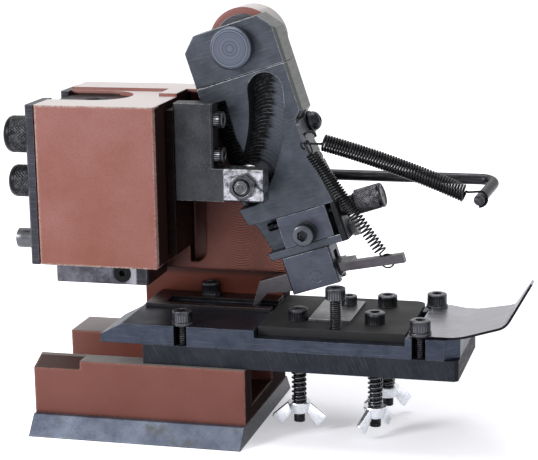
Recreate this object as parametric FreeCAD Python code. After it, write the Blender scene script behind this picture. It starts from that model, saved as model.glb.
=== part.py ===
# Side-feed press applicator for strip-fed terminals, in millimetres.
# The origin is the middle of the base plate's underside: X runs along the strip
# table, Y away from the viewer and Z up. The ram stands at the bottom of its
# stroke, so the feed arm is swung out to the right, as in the photograph.
import FreeCAD, Part
import math
import os

V = FreeCAD.Vector
X_AXIS = V(1, 0, 0)
Y_AXIS = V(0, 1, 0)
Z_AXIS = V(0, 0, 1)

# Fits
slide_gap = 0.15          # flat sliding faces, each side
running_gap = 0.05        # shafts in bores, on the radius
seat_gap = 0.02           # fixed pins in their bores, on the radius
track_gap = 0.35          # roller to cam track, each side
free_gap = 0.3            # pieces that pass each other
window_gap = 0.9          # the ram's side tenon in its window, each side
spill = 1.0               # how far a cutting shape runs past the face it cuts
near = 1.0                # how close an edge lies to the face it is chosen by

# Socket screws, as shares of the head
rim_share = 0.1           # chamfer, of the radius
socket_share = 0.6        # socket depth, of the height
key_share = 0.95          # socket width, of the radius

# Base plate and rail block
base_length = 94.0
base_depth = 88.0
base_thick = 8.0
base_bevel = 7.0
block_depth = 69.0
rail_height = 24.0
front_rail = 10.2
rear_rail = 23.3
block_floor = 6.0
relief_length = 21.0
relief_drop = 3.9
relief_run = 9.5
base_screw_inset = 5.5
base_screw_end = 12.0
foot_screw_inset = 10.0
thread_grip = 10.0

# Frame casting: column, slab, head and pivot boss
head_setback = 3.0
head_length = 53.25
head_front_inset = 4.5
head_depth = 63.6
head_height = 68.5
throat = 40.6
step_rise = 1.4
step_depth = 17.2
step_bar = 8.0
column_setback = 30.0
column_length = 64.0
column_thick = 12.6
column_inset = 10.0
shoulder_height = 10.1
slab_thick = 18.1
slab_drop = 10.1
slab_length = 60.0
slab_shoulder = 21.2
pocket_width = 7.25
pocket_depth = 6.5
pocket_radius = 5.0
pocket_sill = 3.0
boss_radius = 15.3
pivot_reach = 26.35
pivot_clear = 18.85       # pivot above the roller's top at the end of the stroke
edge_break = 0.8

# Ram, gibs and their screws
slot_width = 28.0
slot_length = 33.0
ram_top_drop = 1.8
ram_foot = 3.4
adapter_core_radius = 5.1
adapter_depth = 22.0
holder_height = 15.2
holder_length = 42.2
holder_clamp_length = 5.3
holder_screw_radius = 4.0
holder_screw_setback = 30.6
holder_screw_drop = 10.3
holder_screw_length = 9.0
holder_screw_key = 2.5
die_slot_length = 20.0
die_slot_width = 10.0
die_slot_height = 8.0
gib_thick = 3.86
gib_overlap = 4.0
gib_screws = ((14.2, 8.0, 12.0), (34.4, 7.0, 11.0), (59.6, 4.25, 9.5))  # drop, radius, length
gib_shank_radius = 2.5
gib_shank_length = 12.0

# Follower on the ram's side
stroke = 30.0
stroke_spare = 2.0
link_thick = 3.5
tenon_width = 12.0
tenon_height = 18.0
tenon_seat = 9.0
tenon_rise = 2.0
link_top_drop = 3.0
link_gap = 0.35
follower_front = 13.2
follower_thick = 8.8
bracket_width = 17.0
bracket_drop = 41.2
leg_height = 13.9
leg_length = 4.4
follower_length = 17.2
bracket_screw_drops = (7.2, 22.2)
bracket_screw_inset = 4.3
stud_radius = 3.0
shoulder_radius = 4.0
stud_head_radius = 5.2
stud_head_thick = 1.9
thread_out = 1.2
follower_nut_flats = 10.0
follower_nut_thick = 3.2
roller_radius = 7.3
roller_reach = 13.8

# Feed arm
arm_tilt = 18.0
arm_swing = 15.0
arm_front = 28.5
arm_front_thick = 8.5
arm_back_thick = 7.0
arm_left = 21.2
arm_right = 20.0
arm_top = 9.7
arm_seam = 12.2
seam_gap = 0.3
corner_cut = 6.0
corner_fall = 7.5
arm_bevel = 1.2
side_notch = 3.0
foot_flare = 1.5
foot_cut = 7.5
foot_rise = 10.0
arm_screw_sink = 4.4
arm_screw_thread = 5.0
arm_screw_spots = ((-14.5, 6.0), (14.0, 6.0), (-16.0, 17.0), (15.0, 56.0))  # across, below pivot
foot_screw_rise = 4.5
notch_top = 34.0
notch_length = 14.0
ear_depth = 8.0
tongue_flare = 2.46
tongue_neck = 1.0
tongue_waist = 24.5
tongue_radius = 8.0
tongue_share = 0.42
tongue_tip_left = 1.0
tongue_tip_right = 2.0
tongue_tip_drop = 3.0
track_steps = 12
track_overrun = 4.0
track_headroom = 5.0
pin_radius = 7.0
pin_head_radius = 9.0
pin_head_thick = 5.0
pin_thread_step = 2.0
washer_radius = 12.5
pivot_nut_flats = 17.0
pivot_nut_thick = 5.0

# Lower end of the feed arm: slide, adjusting screw and pawl
tip_clearance = 6.8
tip_left = 31.5
pawl_drop = 2.9
pawl_holder_left = 9.5
pawl_holder_length = 21.8
pawl_holder_height = 16.3
holder_depth = 13.5
lip_height = 3.3
lip_thick = 3.5
channel_height = 14.0
slide_left = 6.0
slide_length = 22.2
slide_web = 17.7
adjust_travel = 2.0
adjust_radius = 2.0
adjust_depth = 3.6
adjust_inset = 5.5
adjust_tail = 4.0
clamp_rise = 4.4
clamp_u = 4.6
knurl_radius = 5.35
knurl_length = 12.0
collar_radius = 4.2
collar_length = 7.0
end_plate_thick = 2.8
end_bolt_radius = 2.0
end_bolt_flats = 7.0
end_bolt_head = 2.8
end_bolt_grip = 7.0
clamp_washer_radius = 5.0
pawl_thick = 6.0
pawl_inset = 4.6
tail_thick = 3.0
tail_start = 15.5
tail_height = 3.8
tail_edge = 1.9
tail_depth = 4.2
tail_root = 5.0
eye_setback = 7.3
eye_radius = 1.1
holder_roof = 3.2
pawl_pin_u = 3.0
pawl_pin_rise = 8.0
pawl_pin_radius = 2.5
end_bolt_rise = 3.0
pawl_tail = 43.0
nose_run = 8.0            # pawl profile: runs from the tip, rises from the foot
nose_rise = 11.8
neck_rise = 11.6
crown_rise = 13.2
back_run = 9.0
back_rise = 12.0
tail_root_rise = 11.8
tail_rise = 8.2
belly_rise = 4.2
heel_run = 18.0
heel_rise = 3.9
hook_run = 9.7
hook_rise = 5.8

# Return springs and their anchors
hanger_thick = 1.5
hanger_length = 10.2
hanger_edge = 2.2
anchor_drop = 40.4
anchor_inset = 2.6
anchor_head_radius = 4.1
anchor_dome_radius = 5.0
anchor_dome_sink = 1.6
anchor_grip = 9.0
hanger_eye_drop = 4.6
rod_seat = 10.0
rod_inset = 6.5
rod_radius = 2.35
rod_reach = 134.75
rod_bend = 7.0
rod_tail = 28.0
rod_dip = 3.5
rod_lean = 3.8
rod_drop = 35.6
arm_spring_radius = 3.5
pawl_spring_radius = 2.75
pawl_spring_hook = 6.2
arm_spring_hook = 9.6
rod_hook = 4.5
spring_wire = 0.8

# Strip table
table_left = 45.8
table_length = 134.0
table_thick = 8.5
table_front = 2.5
table_gap = 0.3
guide_height = 8.5
guide_overhang = 18.8
guide_ramp = 9.5
guide_tip = 3.5
guide_depth = 32.0
guide_end_cut = 6.0
rear_guide_setback = 3.0
guide_screw_ends = (16.6, 16.2)  # from the table's left and right ends
guide_screw_y = 4.5
table_corner = 1.5
rabbet_depth = 3.3
rabbet_start = 48.7
rabbet_length = 63.5
strip_width = 11.0
strip_floor_height = 3.5
strip_cover_thick = 1.6
strip_cover_left = 8.0
strip_cover_lap = 3.0
strip_window_inset = 1.0
drag_plate_thick = 3.8
drag_plate_gap = 0.5
drag_plate_front = 5.0
drag_plate_depth = 53.0
drag_corner = 5.0
drag_screw_x = (14.5, 47.5)
drag_screw_y = 19.0
finger_screw_x = 31.5
finger_length = 32.0
finger_width = 18.0
finger_edge = 6.0
finger_thick = 1.2
tall_screw_x = 33.0
tall_screw_y = 3.5
slot_radius = 2.85
screw_radius = 2.5
screw_head_radius = 4.25
screw_head_height = 5.0
screw_washer_radius = 4.6
screw_washer_thick = 1.2
small_radius = 2.0
small_head_radius = 3.5
small_head_height = 4.0
tall_screw_height = 17.5
lip_sheet = 1.0
lip_flat = 14.0           # bent sheet: straight runs, and the bends between them
lip_fold_radius = 30.0
lip_ramp_angle = 17.0
lip_ramp = 12.4
lip_bend_radius = 8.0
lip_flange_angle = 61.0
lip_flange = 18.0
lip_lap = 18.8
lip_front_inset = 2.0
lip_nose = 6.0
lip_shoulder_x = 22.0
lip_shoulder_y = 38.0
drag_stud_length = 45.0
drag_spring_radius = 3.3
wing_nut_rise = 9.0
wing_nut_turns = (8.0, 62.0, 40.0)
wing_hub_radius = 4.5
wing_hub_taper = 0.6
wing_hub_height = 5.0
wing_span = 23.0
wing_thick = 2.0
wing_root = 2.9
wing_fall = 7.0
wing_end = 3.6
wing_tip_radius = 1.4

# Places that follow from the sizes above
base_left = -base_length / 2
base_right = base_length / 2
base_front = -base_depth / 2
base_back = base_depth / 2
block_front = -block_depth / 2
block_back = block_depth / 2
rail_top = base_thick + rail_height
head_left = base_left + head_setback
head_right = head_left + head_length
head_front = block_front + head_front_inset
head_back = head_front + head_depth
head_bottom = rail_top + throat
head_top = head_bottom + head_height
slab_front = head_back - slab_thick
slab_bottom = head_bottom - slab_drop
column_left = head_left + column_setback
column_right = column_left + column_length
column_front = head_back - column_thick
slab_left = column_left + column_inset
pivot_x = head_right + pivot_reach
slot_mid = (head_front + head_back) / 2
slot_front = slot_mid - slot_width / 2
slot_back = slot_mid + slot_width / 2
ram_bottom = head_bottom + ram_foot
follower_face = head_front + follower_front
follower_back = follower_face + follower_thick
link_left = head_right + link_gap
bracket_left = link_left + link_thick
bracket_right = bracket_left + bracket_width
bracket_bottom = head_top - bracket_drop
follower_left = bracket_right + leg_length
roller_x = follower_left + follower_length / 2
roller_z = bracket_bottom + leg_height / 2
pivot_z = roller_z + stroke + roller_radius + pivot_clear
arm_face = head_front + arm_front
arm_joint = arm_face + arm_front_thick
arm_rear = arm_joint + arm_back_thick
tilt = math.radians(arm_tilt)
table_x = head_left + table_left
table_end = table_x + table_length
table_y = block_front + table_front
table_back = column_front - table_gap
table_top = rail_top + table_thick
guide_top = table_top + guide_height
strip_front = table_y + guide_depth
strip_back = strip_front + strip_width
rabbet_left = table_x + rabbet_start
rabbet_right = rabbet_left + rabbet_length
rabbet_floor = guide_top - rabbet_depth
drag_top = rabbet_floor + drag_plate_thick
pawl_foot = (table_top + tip_clearance - pivot_z + tip_left * math.sin(tilt)) / math.cos(tilt)
holder_low = pawl_foot + pawl_drop
holder_high = holder_low + pawl_holder_height
lip_low = holder_high + free_gap
lip_high = lip_low + lip_height
channel_top = lip_high + channel_height
adjust_w = channel_top - adjust_depth
clamp_w = lip_high + clamp_rise
adjust_y = arm_face + adjust_inset
pawl_y = arm_face + pawl_inset
pawl_pin_w = pawl_foot + pawl_pin_rise
anchor_y = arm_joint + anchor_inset
notch_u = arm_right - side_notch
pawl_spring_y = arm_face - pawl_spring_radius - free_gap
foot_right = arm_right + foot_flare
end_left = foot_right - end_plate_thick
end_bolt_y = (arm_joint + arm_rear) / 2
end_bolt_w = lip_low + end_bolt_rise
rod_y = slab_front + rod_inset
rod_z = head_top - rod_drop
slab_right = slab_left + slab_length
adapter_x = head_left + slot_length / 2
bracket_screw_y = follower_face + bracket_screw_inset


# Plain shapes
def block(x0, x1, y0, y1, z0, z1):
    return Part.makeBox(x1 - x0, y1 - y0, z1 - z0, V(x0, y0, z0))


def rod_along(axis, start, length, radius):
    return Part.makeCylinder(radius, length, start, axis)


def prism_y(points, y0, y1):
    wire = Part.makePolygon([V(x, y0, z) for x, z in points + points[:1]])
    return Part.Face(wire).extrude(V(0, y1 - y0, 0))


def prism_z(points, z0, z1):
    wire = Part.makePolygon([V(x, y, z0) for x, y in points + points[:1]])
    return Part.Face(wire).extrude(V(0, 0, z1 - z0))


def hexagon(axis, centre, flats, length):
    corner = flats / math.sqrt(3)
    points = [V(corner * math.cos(k * math.pi / 3), corner * math.sin(k * math.pi / 3), 0) for k in range(7)]
    solid = Part.Face(Part.makePolygon(points)).extrude(V(0, 0, length))
    solid.Placement = FreeCAD.Placement(centre, FreeCAD.Rotation(Z_AXIS, axis))
    return solid


def cap_screw(seat, axis, head_radius, head_height, shank_radius, shank_length):
    """Socket-head screw: axis points out of the head, seat is under the head."""
    head = rod_along(axis, seat, head_height, head_radius)
    rim = [e for e in head.Edges if isinstance(e.Curve, Part.Circle)
           and (e.Curve.Center - seat).dot(axis) > head_height / 2]
    head = head.makeChamfer(head_radius * rim_share, rim)
    shank = rod_along(-axis, seat, shank_length, shank_radius)
    socket_depth = head_height * socket_share
    socket = hexagon(axis, seat + axis * (head_height - socket_depth), head_radius * key_share, socket_depth)
    return head.fuse(shank).removeSplitter().cut(socket)


def washer(seat, axis, outer, inner, thick):
    return rod_along(axis, seat, thick, outer).cut(rod_along(axis, seat, thick, inner))


def edges_along(shape, axis, choose):
    """Straight edges parallel to an axis whose midpoint passes the test."""
    found = []
    for edge in shape.Edges:
        if not isinstance(edge.Curve, (Part.Line, Part.LineSegment)):
            continue
        direction = (edge.lastVertex().Point - edge.firstVertex().Point).normalize()
        if abs(abs(direction.dot(axis)) - 1) < 1e-6 and choose(edge.CenterOfMass):
            found.append(edge)
    return found


# Base plate: bevelled clamping edges at the front and back, screwed from below
def base_screw_places():
    """Two short screws in the front rail and two long ones that also hold the column."""
    front_y = block_front + base_screw_inset
    rear_y = (column_front + head_back) / 2
    short = base_thick + thread_grip
    long = rail_top + thread_grip
    return [(base_left + base_screw_end, front_y, short), (base_right - base_screw_end, front_y, short),
            (column_left + foot_screw_inset, rear_y, long), (column_right - foot_screw_inset, rear_y, long)]


def make_base_plate():
    profile = [V(base_left, base_front, 0), V(base_left, base_back, 0),
               V(base_left, base_back - base_bevel, base_thick),
               V(base_left, base_front + base_bevel, base_thick), V(base_left, base_front, 0)]
    plate = Part.Face(Part.makePolygon(profile)).extrude(V(base_length, 0, 0))
    for x, y, _ in base_screw_places():
        plate = plate.cut(rod_along(Z_AXIS, V(x, y, 0), base_thick, screw_radius + running_gap))
        plate = plate.cut(rod_along(Z_AXIS, V(x, y, 0), screw_head_height + free_gap,
                                    screw_head_radius + free_gap))
    return plate


def make_base_screws():
    seat = screw_head_height + free_gap
    return Part.makeCompound([cap_screw(V(x, y, seat), -Z_AXIS, screw_head_radius, screw_head_height,
                                        screw_radius, end - seat) for x, y, end in base_screw_places()])


# Rail block: a channel that carries the table in front and the column behind
def make_base_block():
    body = block(base_left, base_right, block_front, block_back, base_thick, rail_top)
    channel = block(base_left, base_right, block_front + front_rail, block_back - rear_rail,
                    base_thick + block_floor, rail_top)
    body = body.cut(channel)
    relief = Part.Face(Part.makePolygon([
        V(base_left, block_front, rail_top - relief_drop), V(base_left, block_front, rail_top),
        V(base_left, block_front + relief_run, rail_top),
        V(base_left, block_front, rail_top - relief_drop)])).extrude(V(relief_length, 0, 0))
    body = body.cut(relief)
    for x, y, end in base_screw_places():
        top = min(end + free_gap, rail_top)
        body = body.cut(rod_along(Z_AXIS, V(x, y, base_thick), top - base_thick, screw_radius + seat_gap))
    for x, y, _ in guide_screw_places():
        if x < base_right:
            body = body.cut(rod_along(-Z_AXIS, V(x, y, rail_top), thread_grip + free_gap,
                                      screw_radius + seat_gap))
    return body


# Frame casting: column on the rear rail, slab, head with the ram slot, pivot boss
def slot_solid(z0, z1, end_x, width):
    radius = width / 2
    straight = block(head_left - spill, end_x - radius, slot_mid - radius, slot_mid + radius, z0, z1)
    return straight.fuse(rod_along(Z_AXIS, V(end_x - radius, slot_mid, z0), z1 - z0, radius))


def make_frame():
    column = prism_y([(column_left, rail_top), (column_right, rail_top), (column_right, slab_bottom),
                      (slab_left, slab_bottom), (column_left, slab_bottom - shoulder_height)],
                     column_front, head_back)
    neck_left = pivot_x - boss_radius
    neck_right = pivot_x + boss_radius
    slab = prism_y([(slab_left, slab_bottom), (slab_right, slab_bottom),
                    (slab_right, head_top - slab_shoulder), (neck_right, head_top), (neck_right, pivot_z),
                    (neck_left, pivot_z), (neck_left, head_top), (slab_left, head_top)],
                   slab_front, head_back)
    boss = rod_along(Y_AXIS, V(pivot_x, slab_front, pivot_z), slab_thick, boss_radius)
    head = block(head_left, head_right, head_front, head_back, head_bottom, head_top)
    head = head.makeChamfer(edge_break, edges_along(
        head, Z_AXIS, lambda p: p.y < head_front + near) + edges_along(
        head, Y_AXIS, lambda p: p.z < head_bottom + near and p.x > head_right - near))
    step = block(head_left + free_gap, neck_left, head_back - step_depth, head_back,
                 head_top, head_top + step_rise)
    bar = block(head_right - step_bar, head_right, slot_mid, head_back, head_top, head_top + step_rise)
    body = head.fuse([slab, column, boss, step, bar]).removeSplitter()
    # the ram slot, the wider relief for the tool holder and the window for the ram's side tenon
    relief_top = ram_bottom + stroke + stroke_spare
    body = body.cut(slot_solid(head_bottom - spill, head_top + step_rise, head_left + slot_length,
                               slot_width))
    body = body.cut(block(head_left - spill, head_left + holder_length + stroke_spare, slot_front, slot_back,
                          slab_bottom - spill, relief_top))
    half_window = tenon_width / 2 + window_gap
    body = body.cut(block(head_left + slot_length - slot_width / 2, head_right + spill,
                          slot_mid - half_window, slot_mid + half_window,
                          ram_bottom + tenon_rise - slide_gap,
                          ram_bottom + tenon_rise + tenon_height + stroke + stroke_spare))
    # the milled pocket in the slab beside the head, with a round lower corner
    pocket = block(head_right, head_right + pocket_width, slab_front, slab_front + pocket_depth,
                   slab_bottom + pocket_sill, head_top)
    corner = edges_along(pocket, Y_AXIS, lambda p: p.z < slab_bottom + pocket_sill + near
                         and p.x > head_right + near)
    body = body.cut(pocket.makeFillet(pocket_radius, corner))
    # bores for the pivot pin, the spring rod, the foot screws and the gib screws
    for x, y, end in base_screw_places():
        if end > rail_top:
            body = body.cut(rod_along(Z_AXIS, V(x, y, rail_top), end - rail_top + free_gap,
                                      screw_radius + seat_gap))
    body = body.cut(rod_along(Y_AXIS, V(pivot_x, slab_front, pivot_z), slab_thick, pin_radius + seat_gap))
    body = body.cut(rod_along(X_AXIS, V(slab_right - rod_seat, rod_y, rod_z), rod_seat + spill,
                              rod_radius + seat_gap))
    for y in gib_screw_lines():
        for drop, _, _ in gib_screws:
            body = body.cut(rod_along(X_AXIS, V(head_left, y, head_top - drop), gib_shank_length,
                                      gib_shank_radius + seat_gap))
    return body.removeSplitter()


# Gibs: two plates that keep the ram in its slot, each held by three knurled screws
def gib_screw_lines():
    front = (head_front + slot_front + gib_overlap) / 2
    back = (head_back + slot_back - gib_overlap) / 2
    return (front, back)


def make_gib(y0, y1, screw_y):
    plate = block(head_left - gib_thick, head_left, y0, y1, head_bottom, head_top)
    plate = plate.makeChamfer(edge_break, edges_along(plate, Z_AXIS, lambda p: p.x < head_left - near))
    for drop, _, _ in gib_screws:
        plate = plate.cut(rod_along(X_AXIS, V(head_left - gib_thick, screw_y, head_top - drop), gib_thick,
                                    gib_shank_radius + seat_gap))
    return plate


def make_gib_screws():
    face = head_left - gib_thick
    return Part.makeCompound([cap_screw(V(face, y, head_top - drop), -X_AXIS, radius, length,
                                        gib_shank_radius, gib_thick + gib_shank_length - free_gap)
                              for y in gib_screw_lines() for drop, radius, length in gib_screws])


# Ram: slides in the head, with a threaded hole on top for the press
def make_ram():
    half = slot_width / 2 - slide_gap
    right = head_left + slot_length - slide_gap
    top = head_top - ram_top_drop
    left = head_left + slide_gap
    body = block(left, right - half, slot_mid - half, slot_mid + half, ram_bottom, top)
    body = body.fuse(rod_along(Z_AXIS, V(right - half, slot_mid, ram_bottom), top - ram_bottom, half))
    body = body.removeSplitter()
    hole = rod_along(-Z_AXIS, V(adapter_x, slot_mid, top), adapter_depth, adapter_core_radius)
    seat = tenon_solid()
    return body.cut(hole).cut(seat)


def tenon_solid():
    left = head_left + slot_length - tenon_seat
    low = ram_bottom + tenon_rise
    return block(left, link_left, slot_mid - tenon_width / 2, slot_mid + tenon_width / 2,
                 low, low + tenon_height)


# Tool holder under the ram: body, end clamp and the flush screw in its side
def make_tool_holder():
    low = ram_bottom - holder_height
    left = head_left + slide_gap
    body = block(left, left + holder_length - holder_clamp_length, slot_front + slide_gap,
                 slot_back - slide_gap, low, ram_bottom)
    body = body.makeChamfer(edge_break, edges_along(body, Z_AXIS, lambda p: p.x < left + near))
    die_slot = block(left, left + die_slot_length, slot_mid - die_slot_width / 2,
                     slot_mid + die_slot_width / 2, low, low + die_slot_height)
    return body.cut(die_slot).cut(tool_screw_solid(seat_gap))


def make_tool_clamp():
    left = head_left + slide_gap + holder_length - holder_clamp_length
    plate = block(left, left + holder_clamp_length, slot_front + slide_gap, slot_back - slide_gap,
                  ram_bottom - holder_height, ram_bottom)
    return plate.makeChamfer(edge_break, edges_along(plate, Z_AXIS, lambda p: p.x > left + near))


def tool_screw_mouth():
    return V(head_left + holder_screw_setback, slot_front + slide_gap, ram_bottom - holder_screw_drop)


def tool_screw_solid(extra):
    return rod_along(Y_AXIS, tool_screw_mouth(), holder_screw_length + extra, holder_screw_radius + extra)


def make_tool_screw():
    return tool_screw_solid(0).cut(hexagon(Y_AXIS, tool_screw_mouth(), holder_screw_key, holder_screw_key))


# Ram link: a tenon through the head's window and a flange that carries the follower
def make_ram_link():
    flange = block(link_left, bracket_left, follower_face + link_gap, slot_mid + tenon_width / 2,
                   ram_bottom, head_top - link_top_drop)
    link = tenon_solid().fuse(flange).removeSplitter()
    for drop in bracket_screw_drops:
        link = link.cut(rod_along(X_AXIS, V(link_left, bracket_screw_y, head_top - drop), link_thick,
                                  small_radius + seat_gap))
    return link


# Follower bracket: L-shaped plate in front of the arm, screwed to the link
def make_follower_bracket():
    plate = prism_y([(bracket_left, bracket_bottom), (follower_left, bracket_bottom),
                     (follower_left, bracket_bottom + leg_height),
                     (bracket_right, bracket_bottom + leg_height), (bracket_right, head_top),
                     (bracket_left, head_top)], follower_face, follower_back)
    plate = plate.makeChamfer(edge_break, edges_along(
        plate, Z_AXIS, lambda p: p.y < follower_face + near and p.x < bracket_right + near))
    for drop in bracket_screw_drops:
        plate = plate.cut(rod_along(X_AXIS, V(bracket_left, bracket_screw_y, head_top - drop), bracket_width,
                                    small_radius + seat_gap))
    return plate


def make_bracket_screws():
    return Part.makeCompound([cap_screw(V(bracket_right, bracket_screw_y, head_top - drop), X_AXIS,
                                        small_head_radius, small_head_height, small_radius,
                                        bracket_width + link_thick)
                              for drop in bracket_screw_drops])


def make_follower_block():
    body = block(follower_left, follower_left + follower_length, follower_face, follower_back,
                 bracket_bottom, bracket_bottom + leg_height)
    body = body.makeChamfer(edge_break, edges_along(body, X_AXIS, lambda p: p.y < follower_face + near))
    return body.cut(rod_along(Y_AXIS, V(roller_x, follower_face, roller_z), follower_thick,
                              stud_radius + seat_gap))


def make_follower_stud():
    thread = rod_along(Y_AXIS, V(roller_x, follower_face - follower_nut_thick - thread_out, roller_z),
                       follower_thick + follower_nut_thick + thread_out, stud_radius)
    shoulder = rod_along(Y_AXIS, V(roller_x, follower_back, roller_z), roller_reach - stud_head_thick,
                         shoulder_radius)
    cap = rod_along(Y_AXIS, V(roller_x, follower_back + roller_reach - stud_head_thick, roller_z),
                    stud_head_thick, stud_head_radius)
    return thread.fuse([shoulder, cap]).removeSplitter()


def make_follower_nut():
    place = V(roller_x, follower_face - follower_nut_thick, roller_z)
    nut = hexagon(Y_AXIS, place, follower_nut_flats, follower_nut_thick)
    return nut.cut(rod_along(Y_AXIS, place, follower_nut_thick, stud_radius + seat_gap))


def make_roller():
    start = V(roller_x, follower_back + free_gap, roller_z)
    length = roller_reach - free_gap
    recess = stud_head_thick + free_gap
    body = rod_along(Y_AXIS, start, length, roller_radius)
    rims = [e for e in body.Edges if isinstance(e.Curve, Part.Circle)]
    body = body.makeChamfer(edge_break, rims)
    body = body.cut(rod_along(Y_AXIS, start, length, shoulder_radius + running_gap))
    return body.cut(rod_along(Y_AXIS, start + Y_AXIS * (length - recess), recess,
                              stud_head_radius + free_gap))


# Feed arm: drawn upright about the pivot, u to the right and w up, then tilted
def place_on_arm(shape):
    shape = shape.copy()
    shape.rotate(V(0, 0, 0), Y_AXIS, -arm_tilt)
    shape.translate(V(pivot_x, 0, pivot_z))
    return shape


def arm_outline(top):
    """The arm's outer profile from a height downwards, counted from the pivot."""
    return [(-arm_left, top), (-arm_left, channel_top + foot_rise), (-arm_left + foot_cut, lip_low),
            (end_left, lip_low), (end_left, channel_top), (foot_right, channel_top),
            (notch_u, -notch_top - notch_length), (notch_u, -notch_top - side_notch),
            (arm_right, -notch_top), (arm_right, top)]


def head_outline():
    return [(-arm_left, -arm_seam), (arm_right, -arm_seam), (arm_right, arm_top - corner_fall),
            (arm_right - corner_cut, arm_top), (-arm_left + corner_cut, arm_top),
            (-arm_left, arm_top - corner_cut)]


def bevel_right(plate):
    """Bevel the front edges on the arm's right side."""
    edges = []
    for edge in plate.Edges:
        ends = edge.Vertexes
        straight = len(ends) == 2 and isinstance(edge.Curve, (Part.Line, Part.LineSegment))
        if straight and all(v.Y < arm_face + near and v.X > notch_u - near for v in ends):
            if abs(ends[0].Z - ends[1].Z) > near:
                edges.append(edge)
    return plate.makeChamfer(arm_bevel, edges)


def track_centre(lift):
    """Roller centre seen from the arm, in arm coordinates, with the ram lifted."""
    turn = tilt - math.radians(arm_swing) * lift / stroke
    across = roller_x - pivot_x
    up = roller_z + lift - pivot_z
    return (across * math.cos(turn) + up * math.sin(turn), -across * math.sin(turn) + up * math.cos(turn))


def track_solid(y0, y1):
    """Cam track: the roller's path over the whole stroke, widened to the roller."""
    half = roller_radius + track_gap
    span = stroke + track_overrun + track_headroom
    lifts = [-track_overrun + k * span / track_steps for k in range(track_steps + 1)]
    left = []
    right = []
    ends = []
    for lift in lifts:
        u, w = track_centre(lift)
        u2, w2 = track_centre(lift + 0.01)
        run = math.hypot(u2 - u, w2 - w)
        along = ((u2 - u) / run, (w2 - w) / run)
        left.append(V(u - along[1] * half, y0, w + along[0] * half))
        right.append(V(u + along[1] * half, y0, w - along[0] * half))
        ends.append((V(u, y0, w), V(along[0] * half, 0, along[1] * half)))
    left_curve = Part.BSplineCurve()
    left_curve.interpolate(left)
    right_curve = Part.BSplineCurve()
    right_curve.interpolate(right)
    upper = Part.Arc(left[-1], ends[-1][0] + ends[-1][1], right[-1])
    lower = Part.Arc(right[0], ends[0][0] - ends[0][1], left[0])
    wire = Part.Wire([left_curve.toShape(), upper.toShape(), right_curve.toShape(), lower.toShape()])
    return Part.Face(wire).extrude(V(0, y1 - y0, 0))


def left_recess(y0, y1):
    """The open space left of the tongue, where the roller's stud can be fitted."""
    low_u, low_w = track_centre(-track_overrun)
    tip_u, tip_w = track_centre(stroke * tongue_share)
    tip = (tip_u - roller_radius - track_gap, tip_w)
    ear = -arm_seam - ear_depth
    outer = -arm_left - spill
    floor = low_w - roller_radius - track_gap
    waist = (tip[0] - tongue_flare, -arm_seam - tongue_waist)
    recess = prism_y([(outer, ear), (waist[0] + tongue_neck, ear), waist, (tip[0] - tongue_tip_left, tip[1]),
                      (tip[0] + tongue_tip_right, tip[1] - tongue_tip_drop), (low_u, low_w),
                      (low_u, floor), (outer, floor)], y0, y1)
    rounded = edges_along(recess, Y_AXIS, lambda p: abs(p.x - waist[0]) < near and abs(p.z - waist[1]) < near)
    return recess.makeFillet(tongue_radius, rounded)


def make_arm_plate():
    plate = prism_y(head_outline()[2:] + arm_outline(-arm_seam)[:-1] + [(arm_right, -arm_seam)],
                    arm_joint, arm_rear)
    # the lip in front, under the slide, with room behind it for the slide's web
    lip = prism_y(arm_outline(-arm_seam), arm_face, arm_joint).common(
        block(-arm_left, foot_right, arm_face, arm_joint, lip_low, lip_high))
    web_room = adjust_travel + free_gap
    lip = lip.cut(block(-slide_left - web_room, slide_web - slide_left + web_room,
                        arm_face + lip_thick, arm_joint, lip_low, lip_high))
    plate = plate.fuse(lip).removeSplitter()
    plate = plate.cut(rod_along(Y_AXIS, V(0, arm_joint, 0), arm_back_thick, pin_radius + running_gap))
    plate = plate.cut(rod_along(Y_AXIS, V(clamp_u, arm_joint, clamp_w), arm_back_thick,
                                screw_radius + seat_gap))
    for u, w in arm_screw_places():
        plate = plate.cut(rod_along(Y_AXIS, V(u, arm_joint, w), arm_back_thick, small_radius + seat_gap))
        plate = plate.cut(rod_along(-Y_AXIS, V(u, arm_rear, w), arm_screw_sink, small_head_radius + free_gap))
    plate = plate.cut(rod_along(-X_AXIS, V(end_left, end_bolt_y, end_bolt_w), end_bolt_grip + free_gap,
                                end_bolt_radius + seat_gap))
    return place_on_arm(plate.cut(anchor_hole(notch_u)))


def arm_screw_places():
    return [(u, -drop) for u, drop in arm_screw_spots] + [(clamp_u, channel_top + foot_screw_rise)]


def make_arm_head():
    plate = bevel_right(prism_y(head_outline(), arm_face, arm_joint))
    plate = plate.cut(rod_along(Y_AXIS, V(0, arm_face, 0), arm_front_thick, pin_radius + running_gap))
    return place_on_arm(cut_arm_threads(plate, -arm_seam, arm_top))


def make_cam_plate():
    plate = prism_y(arm_outline(-arm_seam - seam_gap), arm_face, arm_joint)
    wide = arm_left + foot_right
    plate = bevel_right(plate.cut(block(-wide, wide, arm_face, arm_joint, lip_low, channel_top)))
    plate = plate.cut(track_solid(arm_face, arm_joint))
    plate = plate.cut(left_recess(arm_face, arm_joint))
    return place_on_arm(cut_arm_threads(plate, channel_top, -arm_seam))


def cut_arm_threads(plate, low, high):
    for u, w in arm_screw_places():
        if low < w < high:
            plate = plate.cut(rod_along(-Y_AXIS, V(u, arm_joint, w), arm_screw_thread,
                                        small_radius + seat_gap))
    return plate


def make_arm_screws():
    length = arm_back_thick - arm_screw_sink + arm_screw_thread - free_gap
    screws = [cap_screw(V(u, arm_rear - arm_screw_sink, w), Y_AXIS, small_head_radius, small_head_height,
                        small_radius, length) for u, w in arm_screw_places()]
    return place_on_arm(Part.makeCompound(screws))


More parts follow.
